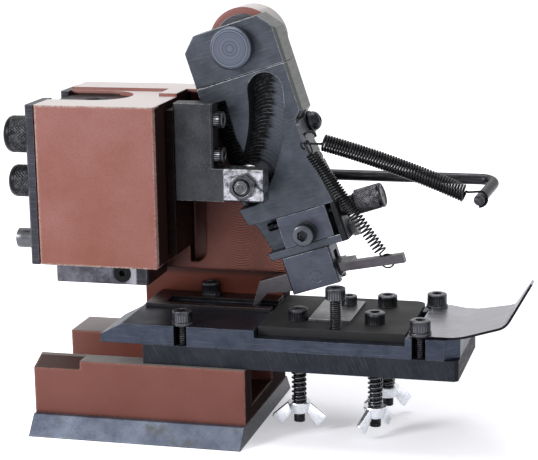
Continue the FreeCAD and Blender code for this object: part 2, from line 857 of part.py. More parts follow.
# Pivot: a headed pin through the arm into the boss, with a thrust washer and a nut
def make_pivot_pin():
    face = arm_face - slide_gap
    head = rod_along(-Y_AXIS, V(pivot_x, face, pivot_z), pin_head_thick, pin_head_radius)
    rim = [e for e in head.Edges if isinstance(e.Curve, Part.Circle) and e.Curve.Center.y < face - near]
    head = head.makeChamfer(edge_break, rim)
    shank = rod_along(Y_AXIS, V(pivot_x, face, pivot_z), head_back - face, pin_radius)
    thread = rod_along(Y_AXIS, V(pivot_x, head_back, pivot_z), pivot_nut_thick + thread_out,
                       pin_radius - pin_thread_step)
    return head.fuse([shank, thread]).removeSplitter()


def make_thrust_washer():
    start = V(pivot_x, arm_rear + slide_gap, pivot_z)
    return washer(start, Y_AXIS, washer_radius, pin_radius + running_gap, slab_front - arm_rear - slide_gap)


def make_pivot_nut():
    place = V(pivot_x, head_back, pivot_z)
    nut = hexagon(Y_AXIS, place, pivot_nut_flats, pivot_nut_thick)
    return nut.cut(rod_along(Y_AXIS, place, pivot_nut_thick, pin_radius - pin_thread_step + seat_gap))


# Slide in the arm's foot: carries the pawl holder and is set by the knurled screw
def make_slide_block():
    low = lip_high + slide_gap
    right = slide_length - slide_left
    back = arm_joint - slide_gap
    body = block(-slide_left, right, arm_face, back, low, channel_top - slide_gap)
    web = block(-slide_left, slide_web - slide_left, arm_face + lip_thick + slide_gap, back, holder_high, low)
    body = body.fuse(web).removeSplitter()
    reach = screw_radius + free_gap
    slot = block(clamp_u - adjust_travel, clamp_u + adjust_travel, arm_face, arm_joint,
                 clamp_w - reach, clamp_w + reach)
    for side in (-1, 1):
        slot = slot.fuse(rod_along(Y_AXIS, V(clamp_u + side * adjust_travel, arm_face, clamp_w),
                                   arm_front_thick, reach))
    hole = rod_along(X_AXIS, V(-slide_left, adjust_y, adjust_w), slide_length, adjust_radius + running_gap)
    return place_on_arm(body.cut(slot).cut(hole))


def make_clamp_screw():
    seat = V(clamp_u, arm_face - screw_washer_thick - slide_gap, clamp_w)
    return place_on_arm(cap_screw(seat, -Y_AXIS, screw_head_radius, screw_head_height, screw_radius,
                                  arm_rear - seat.y - free_gap))


def make_clamp_washer():
    seat = V(clamp_u, arm_face - slide_gap, clamp_w)
    ring = washer(seat, -Y_AXIS, clamp_washer_radius, screw_radius + seat_gap, screw_washer_thick)
    return place_on_arm(ring)


# End plate: closes the slide's channel, and the adjusting screw turns in it
def make_end_plate():
    plate = block(end_left, foot_right, arm_face, arm_rear, lip_low, channel_top - slide_gap)
    plate = plate.makeChamfer(edge_break, edges_along(plate, Z_AXIS, lambda p: p.x > end_left + near))
    hole = rod_along(X_AXIS, V(end_left, adjust_y, adjust_w), end_plate_thick, adjust_radius + running_gap)
    bolt = rod_along(X_AXIS, V(end_left, end_bolt_y, end_bolt_w), end_plate_thick, end_bolt_radius + seat_gap)
    return place_on_arm(plate.cut(hole).cut(bolt))


def make_end_bolt():
    face = V(foot_right, end_bolt_y, end_bolt_w)
    head = hexagon(X_AXIS, face, end_bolt_flats, end_bolt_head)
    shank = rod_along(-X_AXIS, face, end_plate_thick + end_bolt_grip, end_bolt_radius)
    return place_on_arm(head.fuse(shank).removeSplitter())


def make_adjust_screw():
    face = foot_right + slide_gap
    collar = rod_along(X_AXIS, V(face, adjust_y, adjust_w), collar_length, collar_radius)
    knob = rod_along(X_AXIS, V(face + collar_length, adjust_y, adjust_w), knurl_length, knurl_radius)
    rims = [e for e in knob.Edges if isinstance(e.Curve, Part.Circle)]
    knob = knob.makeChamfer(edge_break, rims)
    tip = -slide_left - adjust_travel - adjust_tail
    shank = rod_along(X_AXIS, V(tip, adjust_y, adjust_w), face - tip, adjust_radius)
    return place_on_arm(shank.fuse([collar, knob]).removeSplitter())


# Pawl holder under the slide, its pin, and the sprung feed pawl with its tail
def make_pawl_holder():
    right = pawl_holder_length - pawl_holder_left
    body = block(-pawl_holder_left, right, arm_face, arm_face + holder_depth, holder_low, holder_high)
    body = body.makeChamfer(edge_break, edges_along(body, Z_AXIS, lambda p: p.y < arm_face + near))
    slot = block(-pawl_holder_left, right, pawl_y - slide_gap, pawl_y + pawl_thick + slide_gap,
                 holder_low, holder_high - holder_roof)
    pin = rod_along(Y_AXIS, V(pawl_pin_u, arm_face, pawl_pin_w), holder_depth, pawl_pin_radius + seat_gap)
    return place_on_arm(body.cut(slot).cut(pin))


def make_pawl_pin():
    return place_on_arm(rod_along(Y_AXIS, V(pawl_pin_u, arm_face, pawl_pin_w), holder_depth, pawl_pin_radius))


def make_feed_pawl():
    # nose, back and belly, from the tip round to the tail's root
    back_u = pawl_pin_u + back_run
    profile = [(-tip_left, 0.0), (-tip_left + nose_run, nose_rise), (-pawl_holder_left, neck_rise),
               (pawl_pin_u, crown_rise), (back_u, back_rise), (tail_start, tail_root_rise),
               (pawl_tail, tail_rise), (pawl_tail, tail_rise - tail_height),
               (tail_start, tail_root_rise - tail_height), (back_u, belly_rise),
               (-tip_left + heel_run, heel_rise), (-tip_left + hook_run, hook_rise)]
    outline = [(u, pawl_foot + rise) for u, rise in profile]
    tail_front = pawl_spring_y - tail_edge
    pawl = prism_y(outline, tail_front, pawl_y + pawl_thick)
    low = pawl_foot - spill
    high = holder_high
    pawl = pawl.cut(block(-tip_left, tail_start, tail_front, pawl_y, low, high))
    pawl = pawl.cut(block(tail_start, pawl_tail, pawl_y + tail_thick, pawl_y + pawl_thick, low, high))
    pawl = pawl.cut(block(tail_start + tail_root, pawl_tail, tail_front + tail_depth, pawl_y + tail_thick,
                          low, high))
    pawl = pawl.cut(rod_along(Y_AXIS, V(pawl_pin_u, pawl_y, pawl_pin_w), pawl_thick,
                              pawl_pin_radius + running_gap))
    eye = rod_along(Z_AXIS, V(pawl_tail - eye_setback, pawl_spring_y, low), high - low, eye_radius)
    return place_on_arm(pawl.cut(eye))


# Spring hanger on the arm's side, reaching out in front, with its button screw
def anchor_hole(face):
    return rod_along(-X_AXIS, V(face, anchor_y, -anchor_drop), anchor_grip + free_gap,
                     small_radius + seat_gap)


def make_spring_hanger():
    top = -notch_top - side_notch - free_gap
    plate = block(notch_u, notch_u + hanger_thick, pawl_spring_y - hanger_edge, anchor_y + anchor_head_radius,
                  top - hanger_length, top)
    plate = plate.makeFillet(hanger_edge, edges_along(plate, X_AXIS, lambda p: p.y < arm_face))
    plate = plate.cut(anchor_hole(notch_u + hanger_thick))
    eye = V(notch_u, pawl_spring_y, -anchor_drop - hanger_eye_drop)
    return place_on_arm(plate.cut(rod_along(X_AXIS, eye, hanger_thick, eye_radius)))


def make_anchor_screw():
    face = V(notch_u + hanger_thick, anchor_y, -anchor_drop)
    dome = Part.makeSphere(anchor_dome_radius, face - X_AXIS * anchor_dome_sink)
    dome = dome.common(rod_along(X_AXIS, face, anchor_dome_radius, anchor_head_radius))
    shank = rod_along(-X_AXIS, face, hanger_thick + anchor_grip, small_radius)
    socket = hexagon(X_AXIS, face + X_AXIS * anchor_dome_sink, holder_screw_key, anchor_dome_radius)
    return place_on_arm(dome.fuse(shank).removeSplitter().cut(socket))


# Spring rod: fixed in the slab behind the arm, bent towards the viewer at its end
def rod_corner():
    return V(head_right + rod_reach, rod_y, rod_z)


def make_spring_rod():
    start = V(slab_right - rod_seat, rod_y, rod_z)
    corner = rod_corner()
    end = corner + V(-rod_lean, -rod_tail, -rod_dip)
    tail = (end - corner).normalize()
    before = corner - X_AXIS * rod_bend
    after = corner + tail * rod_bend
    # the middle of the bend lies on the line that halves the corner
    half = (tail.getAngle(-X_AXIS)) / 2
    inward = (tail - X_AXIS).normalize()
    middle = corner + inward * (rod_bend * (1 - math.sin(half)) / math.cos(half))
    path = Part.Wire([Part.LineSegment(start, before).toShape(), Part.Arc(before, middle, after).toShape(),
                      Part.LineSegment(after, end).toShape()])
    circle = Part.Wire([Part.Circle(start, X_AXIS, rod_radius).toShape()])
    return path.makePipeShell([circle], True, False)


# Springs as sleeves of their outer size; the coils are drawn with the looks
def spring_sleeve(start, end, radius):
    axis = (end - start).normalize()
    length = (end - start).Length
    tube = rod_along(axis, start, length, radius)
    return tube.cut(rod_along(axis, start, length, radius - spring_wire))


def arm_point(u, y, w):
    return place_on_arm(Part.Vertex(V(u, y, w))).Point


def hanger_eye():
    return arm_point(notch_u + hanger_thick, pawl_spring_y, -anchor_drop - hanger_eye_drop)


def make_arm_spring():
    eye = hanger_eye()
    share = (rod_y - pawl_spring_y) / rod_tail
    hook = rod_corner() + V(-rod_lean, -rod_tail, -rod_dip) * share
    run = (hook - eye).normalize()
    return spring_sleeve(eye + run * arm_spring_hook, hook - run * rod_hook, arm_spring_radius)


def make_pawl_spring():
    eye = hanger_eye()
    hook = arm_point(pawl_tail - eye_setback, pawl_spring_y, pawl_foot + tail_rise)
    run = (hook - eye).normalize()
    return spring_sleeve(eye + run * pawl_spring_hook, hook - run * pawl_spring_hook, pawl_spring_radius)


# Strip table: thick plate on the rails, reaching out to the right
def guide_screw_places():
    """Screws that hold the guides and the table: x, y and the seat's height."""
    front_y = table_y + guide_screw_y
    rear_y = (strip_back + table_back) / 2
    left_x = table_x + guide_screw_ends[0]
    right_x = table_end - guide_screw_ends[1]
    return ((left_x, front_y, guide_top), (right_x, front_y, guide_top + lip_sheet),
            (left_x, rear_y, guide_top + strip_cover_thick), (right_x, rear_y, guide_top + lip_sheet))


def drag_screw_places():
    front_y = table_y + drag_screw_y
    rear_y = (strip_back + table_back) / 2
    left_x, right_x = [rabbet_left + x for x in drag_screw_x]
    return ((left_x, front_y), (right_x, front_y), (right_x, rear_y))


def make_table_plate():
    plate = block(table_x, table_end, table_y, table_back, rail_top, table_top)
    plate = plate.makeChamfer(table_corner, edges_along(plate, Z_AXIS, lambda p: p.x > table_end - near))
    for x, y, _ in guide_screw_places():
        plate = plate.cut(rod_along(Z_AXIS, V(x, y, rail_top), table_thick, screw_radius + seat_gap))
    for x, y in drag_screw_places():
        plate = plate.cut(rod_along(Z_AXIS, V(x, y, rail_top), table_thick, screw_radius + free_gap))
    return plate


def guide_body(left, y0, y1):
    """A guide bar with a ramp on its left end and a rabbet for the drag plate."""
    bar = prism_y([(left, table_top), (table_end, table_top), (table_end, guide_top),
                   (left + guide_ramp, guide_top), (left, table_top + guide_tip)], y0, y1)
    bar = bar.cut(block(rabbet_left, rabbet_right, y0, y1, rabbet_floor, guide_top))
    for x, y in drag_screw_places():
        bar = bar.cut(rod_along(Z_AXIS, V(x, y, table_top), guide_height, screw_radius + free_gap))
    return bar


def make_front_guide():
    bar = guide_body(table_x - guide_overhang, table_y, strip_front)
    bar = bar.makeChamfer(guide_end_cut, edges_along(
        bar, Z_AXIS, lambda p: p.x > table_end - near and p.y < table_y + near))
    for x, y, _ in guide_screw_places()[:2]:
        bar = bar.cut(rod_along(Z_AXIS, V(x, y, table_top), guide_height, slot_radius))
        bar = bar.cut(block(x - slot_radius, x + slot_radius, table_y, y, table_top, guide_top))
    return bar


def make_rear_guide():
    bar = guide_body(table_x - guide_overhang + rear_guide_setback, strip_back, table_back)
    for x, y, _ in guide_screw_places()[2:]:
        bar = bar.cut(rod_along(Z_AXIS, V(x, y, table_top), guide_height, screw_radius + seat_gap))
    return bar


def make_strip_floor():
    return block(table_x - guide_overhang + rear_guide_setback, table_end, strip_front, strip_back,
                 table_top, table_top + strip_floor_height)


def make_strip_cover():
    left = table_x - strip_cover_left
    right = rabbet_left - free_gap
    top = guide_top + strip_cover_thick
    plate = block(left, right, strip_front - strip_cover_lap, table_back, guide_top, top)
    plate = plate.cut(block(table_x, right, strip_front + strip_window_inset, strip_back, guide_top, top))
    x, y, _ = guide_screw_places()[2]
    return plate.cut(rod_along(Z_AXIS, V(x, y, guide_top), strip_cover_thick, screw_radius + seat_gap))


def make_guide_screws():
    screws = []
    for x, y, seat in guide_screw_places():
        head = seat + screw_washer_thick
        end = rail_top - thread_grip if x < base_right else rail_top + free_gap
        screws.append(cap_screw(V(x, y, head), Z_AXIS, screw_head_radius, screw_head_height, screw_radius,
                                head - end))
    return Part.makeCompound(screws)


def make_guide_washers():
    return Part.makeCompound([washer(V(x, y, seat), Z_AXIS, screw_washer_radius, screw_radius + seat_gap,
                                     screw_washer_thick) for x, y, seat in guide_screw_places()])


# Drag plate: pressed on the strip by three screws with springs and wing nuts below
def finger_screw_place():
    return (rabbet_left + finger_screw_x, strip_back)


def tall_screw_place():
    return (rabbet_left + tall_screw_x, table_y + drag_plate_front + tall_screw_y)


def make_drag_plate():
    left = rabbet_left + drag_plate_gap
    right = rabbet_right - drag_plate_gap
    front = table_y + drag_plate_front
    plate = block(left, right, front, front + drag_plate_depth, rabbet_floor, drag_top)
    plate = plate.makeFillet(drag_corner, edges_along(
        plate, Z_AXIS, lambda p: p.x > right - near and p.y > front + near))
    holes = [(place, screw_radius) for place in drag_screw_places()]
    holes += [(tall_screw_place(), screw_radius), (finger_screw_place(), small_radius)]
    for (x, y), radius in holes:
        plate = plate.cut(rod_along(Z_AXIS, V(x, y, rabbet_floor), drag_plate_thick, radius + seat_gap))
    return plate


def make_drag_screws():
    return Part.makeCompound([cap_screw(V(x, y, drag_top), Z_AXIS, screw_head_radius, screw_head_height,
                                        screw_radius, drag_stud_length) for x, y in drag_screw_places()])


def make_finger_plate():
    x, y = finger_screw_place()
    right = x + finger_edge
    back = y + finger_edge
    plate = block(right - finger_width, right, back - finger_length, back, drag_top, drag_top + finger_thick)
    return plate.cut(rod_along(Z_AXIS, V(x, y, drag_top), finger_thick, small_radius + seat_gap))


def make_finger_screw():
    x, y = finger_screw_place()
    seat = drag_top + finger_thick
    return cap_screw(V(x, y, seat), Z_AXIS, small_head_radius, small_head_height, small_radius,
                     seat - rabbet_floor - free_gap)


def make_tall_screw():
    x, y = tall_screw_place()
    seat = drag_top + tall_screw_height - screw_head_height
    return cap_screw(V(x, y, seat), Z_AXIS, screw_head_radius, screw_head_height, screw_radius,
                     seat - rabbet_floor - free_gap)


def wing_nut_top():
    return drag_top - drag_stud_length + wing_nut_rise


def make_drag_spring(place):
    x, y = place
    return spring_sleeve(V(x, y, wing_nut_top()), V(x, y, rail_top), drag_spring_radius)


def make_wing_nut(place, turn):
    x, y = place
    hub = Part.makeCone(wing_hub_radius + wing_hub_taper, wing_hub_radius - wing_hub_taper, wing_hub_height,
                        V(0, 0, 0), -Z_AXIS)
    wings = []
    for side in (-1, 1):
        tip = side * wing_span / 2
        wing = prism_y([(side * wing_root, 0.0), (side * wing_hub_radius, -wing_hub_taper), (tip, -wing_fall),
                        (tip - side * wing_end, -wing_fall - wing_end), (side * wing_root, -wing_hub_height)],
                       -wing_thick / 2, wing_thick / 2)
        ends = edges_along(wing, Y_AXIS, lambda p: abs(p.x) > wing_span / 2 - wing_end - near)
        wings.append(wing.makeFillet(wing_tip_radius, ends))
    nut = hub.fuse(wings).removeSplitter()
    nut = nut.cut(rod_along(-Z_AXIS, V(0, 0, 0), wing_hub_height, screw_radius + running_gap))
    nut.rotate(V(0, 0, 0), Z_AXIS, turn)
    nut.translate(V(x, y, wing_nut_top()))
    return nut


# Lead-in lip: bent sheet that guides the strip on to the table
def make_lead_in_lip():
    left = table_end - lip_lap
    flat = left + lip_flat
    # the bent sheet's outline: along its underside, round the end and back along its top
    point, heading = V(left, table_y, guide_top), 0.0
    under, over = [], [Part.LineSegment(point + Z_AXIS * lip_sheet, point).toShape()]
    for run, radius, angle in ((lip_flat, lip_fold_radius, lip_ramp_angle),
                               (lip_ramp, lip_bend_radius, lip_flange_angle), (lip_flange, 0.0, 0.0)):
        rise = V(-math.sin(heading), 0, math.cos(heading))
        ahead = point + V(math.cos(heading), 0, math.sin(heading)) * run
        under.append(Part.LineSegment(point, ahead).toShape())
        over.insert(0, Part.LineSegment(ahead + rise * lip_sheet, point + rise * lip_sheet).toShape())
        point = ahead
        if radius:
            centre = ahead + rise * radius
            swing = [heading, (heading + math.radians(angle)) / 2, math.radians(angle)]
            spokes = [V(math.sin(turn), 0, -math.cos(turn)) for turn in swing]
            under.append(Part.Arc(*[centre + spoke * radius for spoke in spokes]).toShape())
            over.insert(0, Part.Arc(*[centre + spoke * (radius - lip_sheet)
                                      for spoke in reversed(spokes)]).toShape())
            point, heading = centre + spokes[-1] * radius, swing[-1]
    tip = Part.LineSegment(point, point + rise * lip_sheet).toShape()
    profile = Part.Wire(under + [tip] + over)
    sheet = Part.Face(profile).extrude(V(0, table_back - table_y, 0))
    # the plan is cut back at the rear, where the sheet narrows to its nose
    end_x = point.x
    front = table_y + lip_front_inset
    plan = prism_z([(left, front), (end_x, front), (end_x, front + lip_nose),
                    (flat + lip_shoulder_x, table_y + lip_shoulder_y),
                    (flat + lip_nose, table_back - lip_nose), (flat - lip_nose, table_back),
                    (left, table_back)], guide_top, point.z + lip_sheet)
    sheet = sheet.common(plan)
    for x, y, _ in guide_screw_places()[1::2]:
        sheet = sheet.cut(rod_along(Z_AXIS, V(x, y, guide_top), lip_sheet, screw_radius + seat_gap))
    return sheet


front_screw_y, back_screw_y = gib_screw_lines()
nodes = {
    "base_plate": make_base_plate(),
    "base_screws": make_base_screws(),
    "base_block": make_base_block(),
    "frame": make_frame(),
    "front_gib": make_gib(head_front, slot_front + gib_overlap, front_screw_y),
    "rear_gib": make_gib(slot_back - gib_overlap, head_back, back_screw_y),
    "gib_screws": make_gib_screws(),
    "ram": make_ram(),
    "tool_holder": make_tool_holder(),
    "tool_clamp": make_tool_clamp(),
    "tool_screw": make_tool_screw(),
    "ram_link": make_ram_link(),
    "follower_bracket": make_follower_bracket(),
    "bracket_screws": make_bracket_screws(),
    "follower_block": make_follower_block(),
    "follower_stud": make_follower_stud(),
    "follower_nut": make_follower_nut(),
    "roller": make_roller(),
    "arm_plate": make_arm_plate(),
    "arm_head": make_arm_head(),
    "cam_plate": make_cam_plate(),
    "arm_screws": make_arm_screws(),
    "pivot_pin": make_pivot_pin(),
    "thrust_washer": make_thrust_washer(),
    "pivot_nut": make_pivot_nut(),
    "slide_block": make_slide_block(),
    "clamp_screw": make_clamp_screw(),
    "clamp_washer": make_clamp_washer(),
    "end_plate": make_end_plate(),
    "end_bolt": make_end_bolt(),
    "adjust_screw": make_adjust_screw(),
    "pawl_holder": make_pawl_holder(),
    "pawl_pin": make_pawl_pin(),
    "feed_pawl": make_feed_pawl(),
    "spring_hanger": make_spring_hanger(),
    "anchor_screw": make_anchor_screw(),
    "spring_rod": make_spring_rod(),
    "arm_spring": make_arm_spring(),
    "pawl_spring": make_pawl_spring(),
    "table_plate": make_table_plate(),
    "front_guide": make_front_guide(),
    "rear_guide": make_rear_guide(),
    "strip_floor": make_strip_floor(),
    "strip_cover": make_strip_cover(),
    "guide_screws": make_guide_screws(),
    "guide_washers": make_guide_washers(),
    "drag_plate": make_drag_plate(),
    "drag_screws": make_drag_screws(),
    "finger_plate": make_finger_plate(),
    "finger_screw": make_finger_screw(),
    "tall_screw": make_tall_screw(),
    "lead_in_lip": make_lead_in_lip(),
}
for number, place in enumerate(drag_screw_places()):
    nodes["drag_spring_%d" % (number + 1)] = make_drag_spring(place)
    nodes["wing_nut_%d" % (number + 1)] = make_wing_nut(place, wing_nut_turns[number])

os.makedirs("parts", exist_ok=True)
for name, shape in nodes.items():
    shape.exportStep("parts/%s.step" % name)
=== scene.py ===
import math
from functools import partial

import bmesh
import bpy
from mathutils import Matrix, Vector
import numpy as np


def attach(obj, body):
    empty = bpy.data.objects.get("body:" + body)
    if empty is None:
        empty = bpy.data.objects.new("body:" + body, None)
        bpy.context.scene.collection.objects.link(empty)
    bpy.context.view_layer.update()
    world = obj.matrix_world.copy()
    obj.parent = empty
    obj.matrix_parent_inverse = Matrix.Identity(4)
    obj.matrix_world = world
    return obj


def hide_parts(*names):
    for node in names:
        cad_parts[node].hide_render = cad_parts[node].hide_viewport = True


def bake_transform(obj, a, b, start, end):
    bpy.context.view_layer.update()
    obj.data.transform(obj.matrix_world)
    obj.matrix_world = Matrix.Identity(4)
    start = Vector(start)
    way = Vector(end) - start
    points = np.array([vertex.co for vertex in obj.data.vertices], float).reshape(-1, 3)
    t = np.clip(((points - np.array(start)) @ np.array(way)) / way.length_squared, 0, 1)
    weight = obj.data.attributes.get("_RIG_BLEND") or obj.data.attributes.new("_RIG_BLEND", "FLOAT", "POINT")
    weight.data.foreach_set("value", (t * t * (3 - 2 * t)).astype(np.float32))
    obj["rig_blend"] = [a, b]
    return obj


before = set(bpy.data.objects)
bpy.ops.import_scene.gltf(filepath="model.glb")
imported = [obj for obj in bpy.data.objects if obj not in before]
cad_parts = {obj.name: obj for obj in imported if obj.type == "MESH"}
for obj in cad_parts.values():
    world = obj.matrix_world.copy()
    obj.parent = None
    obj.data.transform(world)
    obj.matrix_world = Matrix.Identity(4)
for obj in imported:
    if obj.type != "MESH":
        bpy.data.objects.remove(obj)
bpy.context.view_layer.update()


# Base plate. A flat steel plate with bevelled clamping edges, hardened and blued in
# salts, then scuffed by the press bed: a patchy grey-blue skin with warm stains,
# darker at the lower edge. Screws from below hold it to the rail block.
mm = 0.001


def colour(code):
    """An sRGB hex code as a linear colour."""
    parts = [int(code[i:i + 2], 16) / 255 for i in (1, 3, 5)]
    return [c / 12.92 if c <= 0.04045 else ((c + 0.055) / 1.055) ** 2.4 for c in parts] + [1.0]


def put(finish, kind, *inputs, get=0, **named):
    """Add one node, with its mode after its kind, and give an output: the first open one, a named one or, for
    None, all. Inputs fill the open sockets in order; a named one is a setting in small letters or a socket.
    Each input is a value, a colour's hex code or another node's output."""
    kind, _, mode = kind.partition(" ")
    node = finish.node_tree.nodes.new("ShaderNode" + kind)
    if mode:
        setattr(node, "data_type" if kind == "Mix" else "operation", mode)
    for name in filter(str.islower, named):
        setattr(node, name, named[name])
    wires = list(zip((socket for socket in node.inputs if socket.enabled), inputs))
    wires += [(node.inputs[name.replace("_", " ")], named[name]) for name in named if not name.islower()]
    for socket, value in wires:
        if isinstance(value, bpy.types.NodeSocket):
            finish.node_tree.links.new(value, socket)
        else:
            socket.default_value = colour(value) if isinstance(value, str) else value
    if get == 0:
        return next((socket for socket in node.outputs if socket.enabled), None)
    return node.outputs if get is None else node.outputs[get]


def new_finish(name):
    """A new material, a put of its own and its Object coordinates, in metres."""
    finish = bpy.data.materials.new(name)
    finish.use_nodes = True
    finish.node_tree.nodes.clear()
    add = partial(put, finish)
    return finish, add, add("TexCoord", get="Object")


def edge_wear(add, place, radius, patch, share=0.5):
    """A mask that is 1 along rubbed edges and breaks up in patches, and the softened normal.
    A low share leaves fewer patches unrubbed."""
    soft = add("Bevel", samples=6, Radius=radius)
    flat = add("NewGeometry", get="Normal")
    turn = add("VectorMath DOT_PRODUCT", soft, flat)
    edge = add("MapRange", turn, 0.985, 0.86)
    spots = add("TexNoise", place, 1 / patch, 6.0, 0.7)
    rubbed = add("MapRange", spots, share - 0.12, share + 0.12)
    mask = add("Math MULTIPLY", edge, rubbed)
    return mask, soft


def close_finish(finish, shade, rough, normal, metallic, **sockets):
    """The shader and the output; gives the finished material."""
    shader = put(finish, "BsdfPrincipled", Base_Color=shade, Roughness=rough, Normal=normal, Metallic=metallic,
                 **sockets)
    put(finish, "OutputMaterial", Surface=shader)
    return finish


def dress(finish, *nodes):
    """Give CAD nodes a finish."""
    for name in nodes:
        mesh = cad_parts[name].data
        mesh.materials.clear()
        mesh.materials.append(finish)


def blued_steel(name):
    """Salt-blued steel: smooth, half metallic, stains a few millimetres wide, fine scuffs, and faces that look right
    darkened as painted shade.
    """
    finish, add, place = new_finish(name)
    stains = add("TexNoise", place, 1 / (13 * mm), 5.0, 0.62)
    scuffs = add("TexNoise", place, 1 / (0.9 * mm), 4.0)
    warm = add("TexNoise", place, 1 / (7 * mm), 3.0)
    deep = add("MapRange", stains, 0.34, 0.66)
    rust = add("MapRange", warm, 0.56, 0.74)
    shade = add("Mix RGBA", deep, "#4f5665", "#717989")
    shade = add("Mix RGBA", rust, shade, "#5a5c60")
    facing = add("SeparateXYZ", add("NewGeometry", get="Normal"))
    # painted shade: faces that look right, at the plate's right end, are darkened
    painted_shade_right_faces = add("MapRange", facing, 0.4, 0.7, 0.0, 0.9)
    shade = add("Mix RGBA", painted_shade_right_faces, shade, "#1f2229")
    worn, soft = edge_wear(add, place, 0.8 * mm, 3 * mm)
    shade = add("Mix RGBA", worn, shade, "#24262c")
    rough = add("MapRange", scuffs, 0.3, 0.7, 0.3, 0.52)
    normal = add("Bump", Strength=0.25, Distance=0.03 * mm, Height=scuffs, Normal=soft)
    return close_finish(finish, shade, rough, normal, 0.8)


dress(blued_steel("blued_scuffed_steel"), "base_plate")
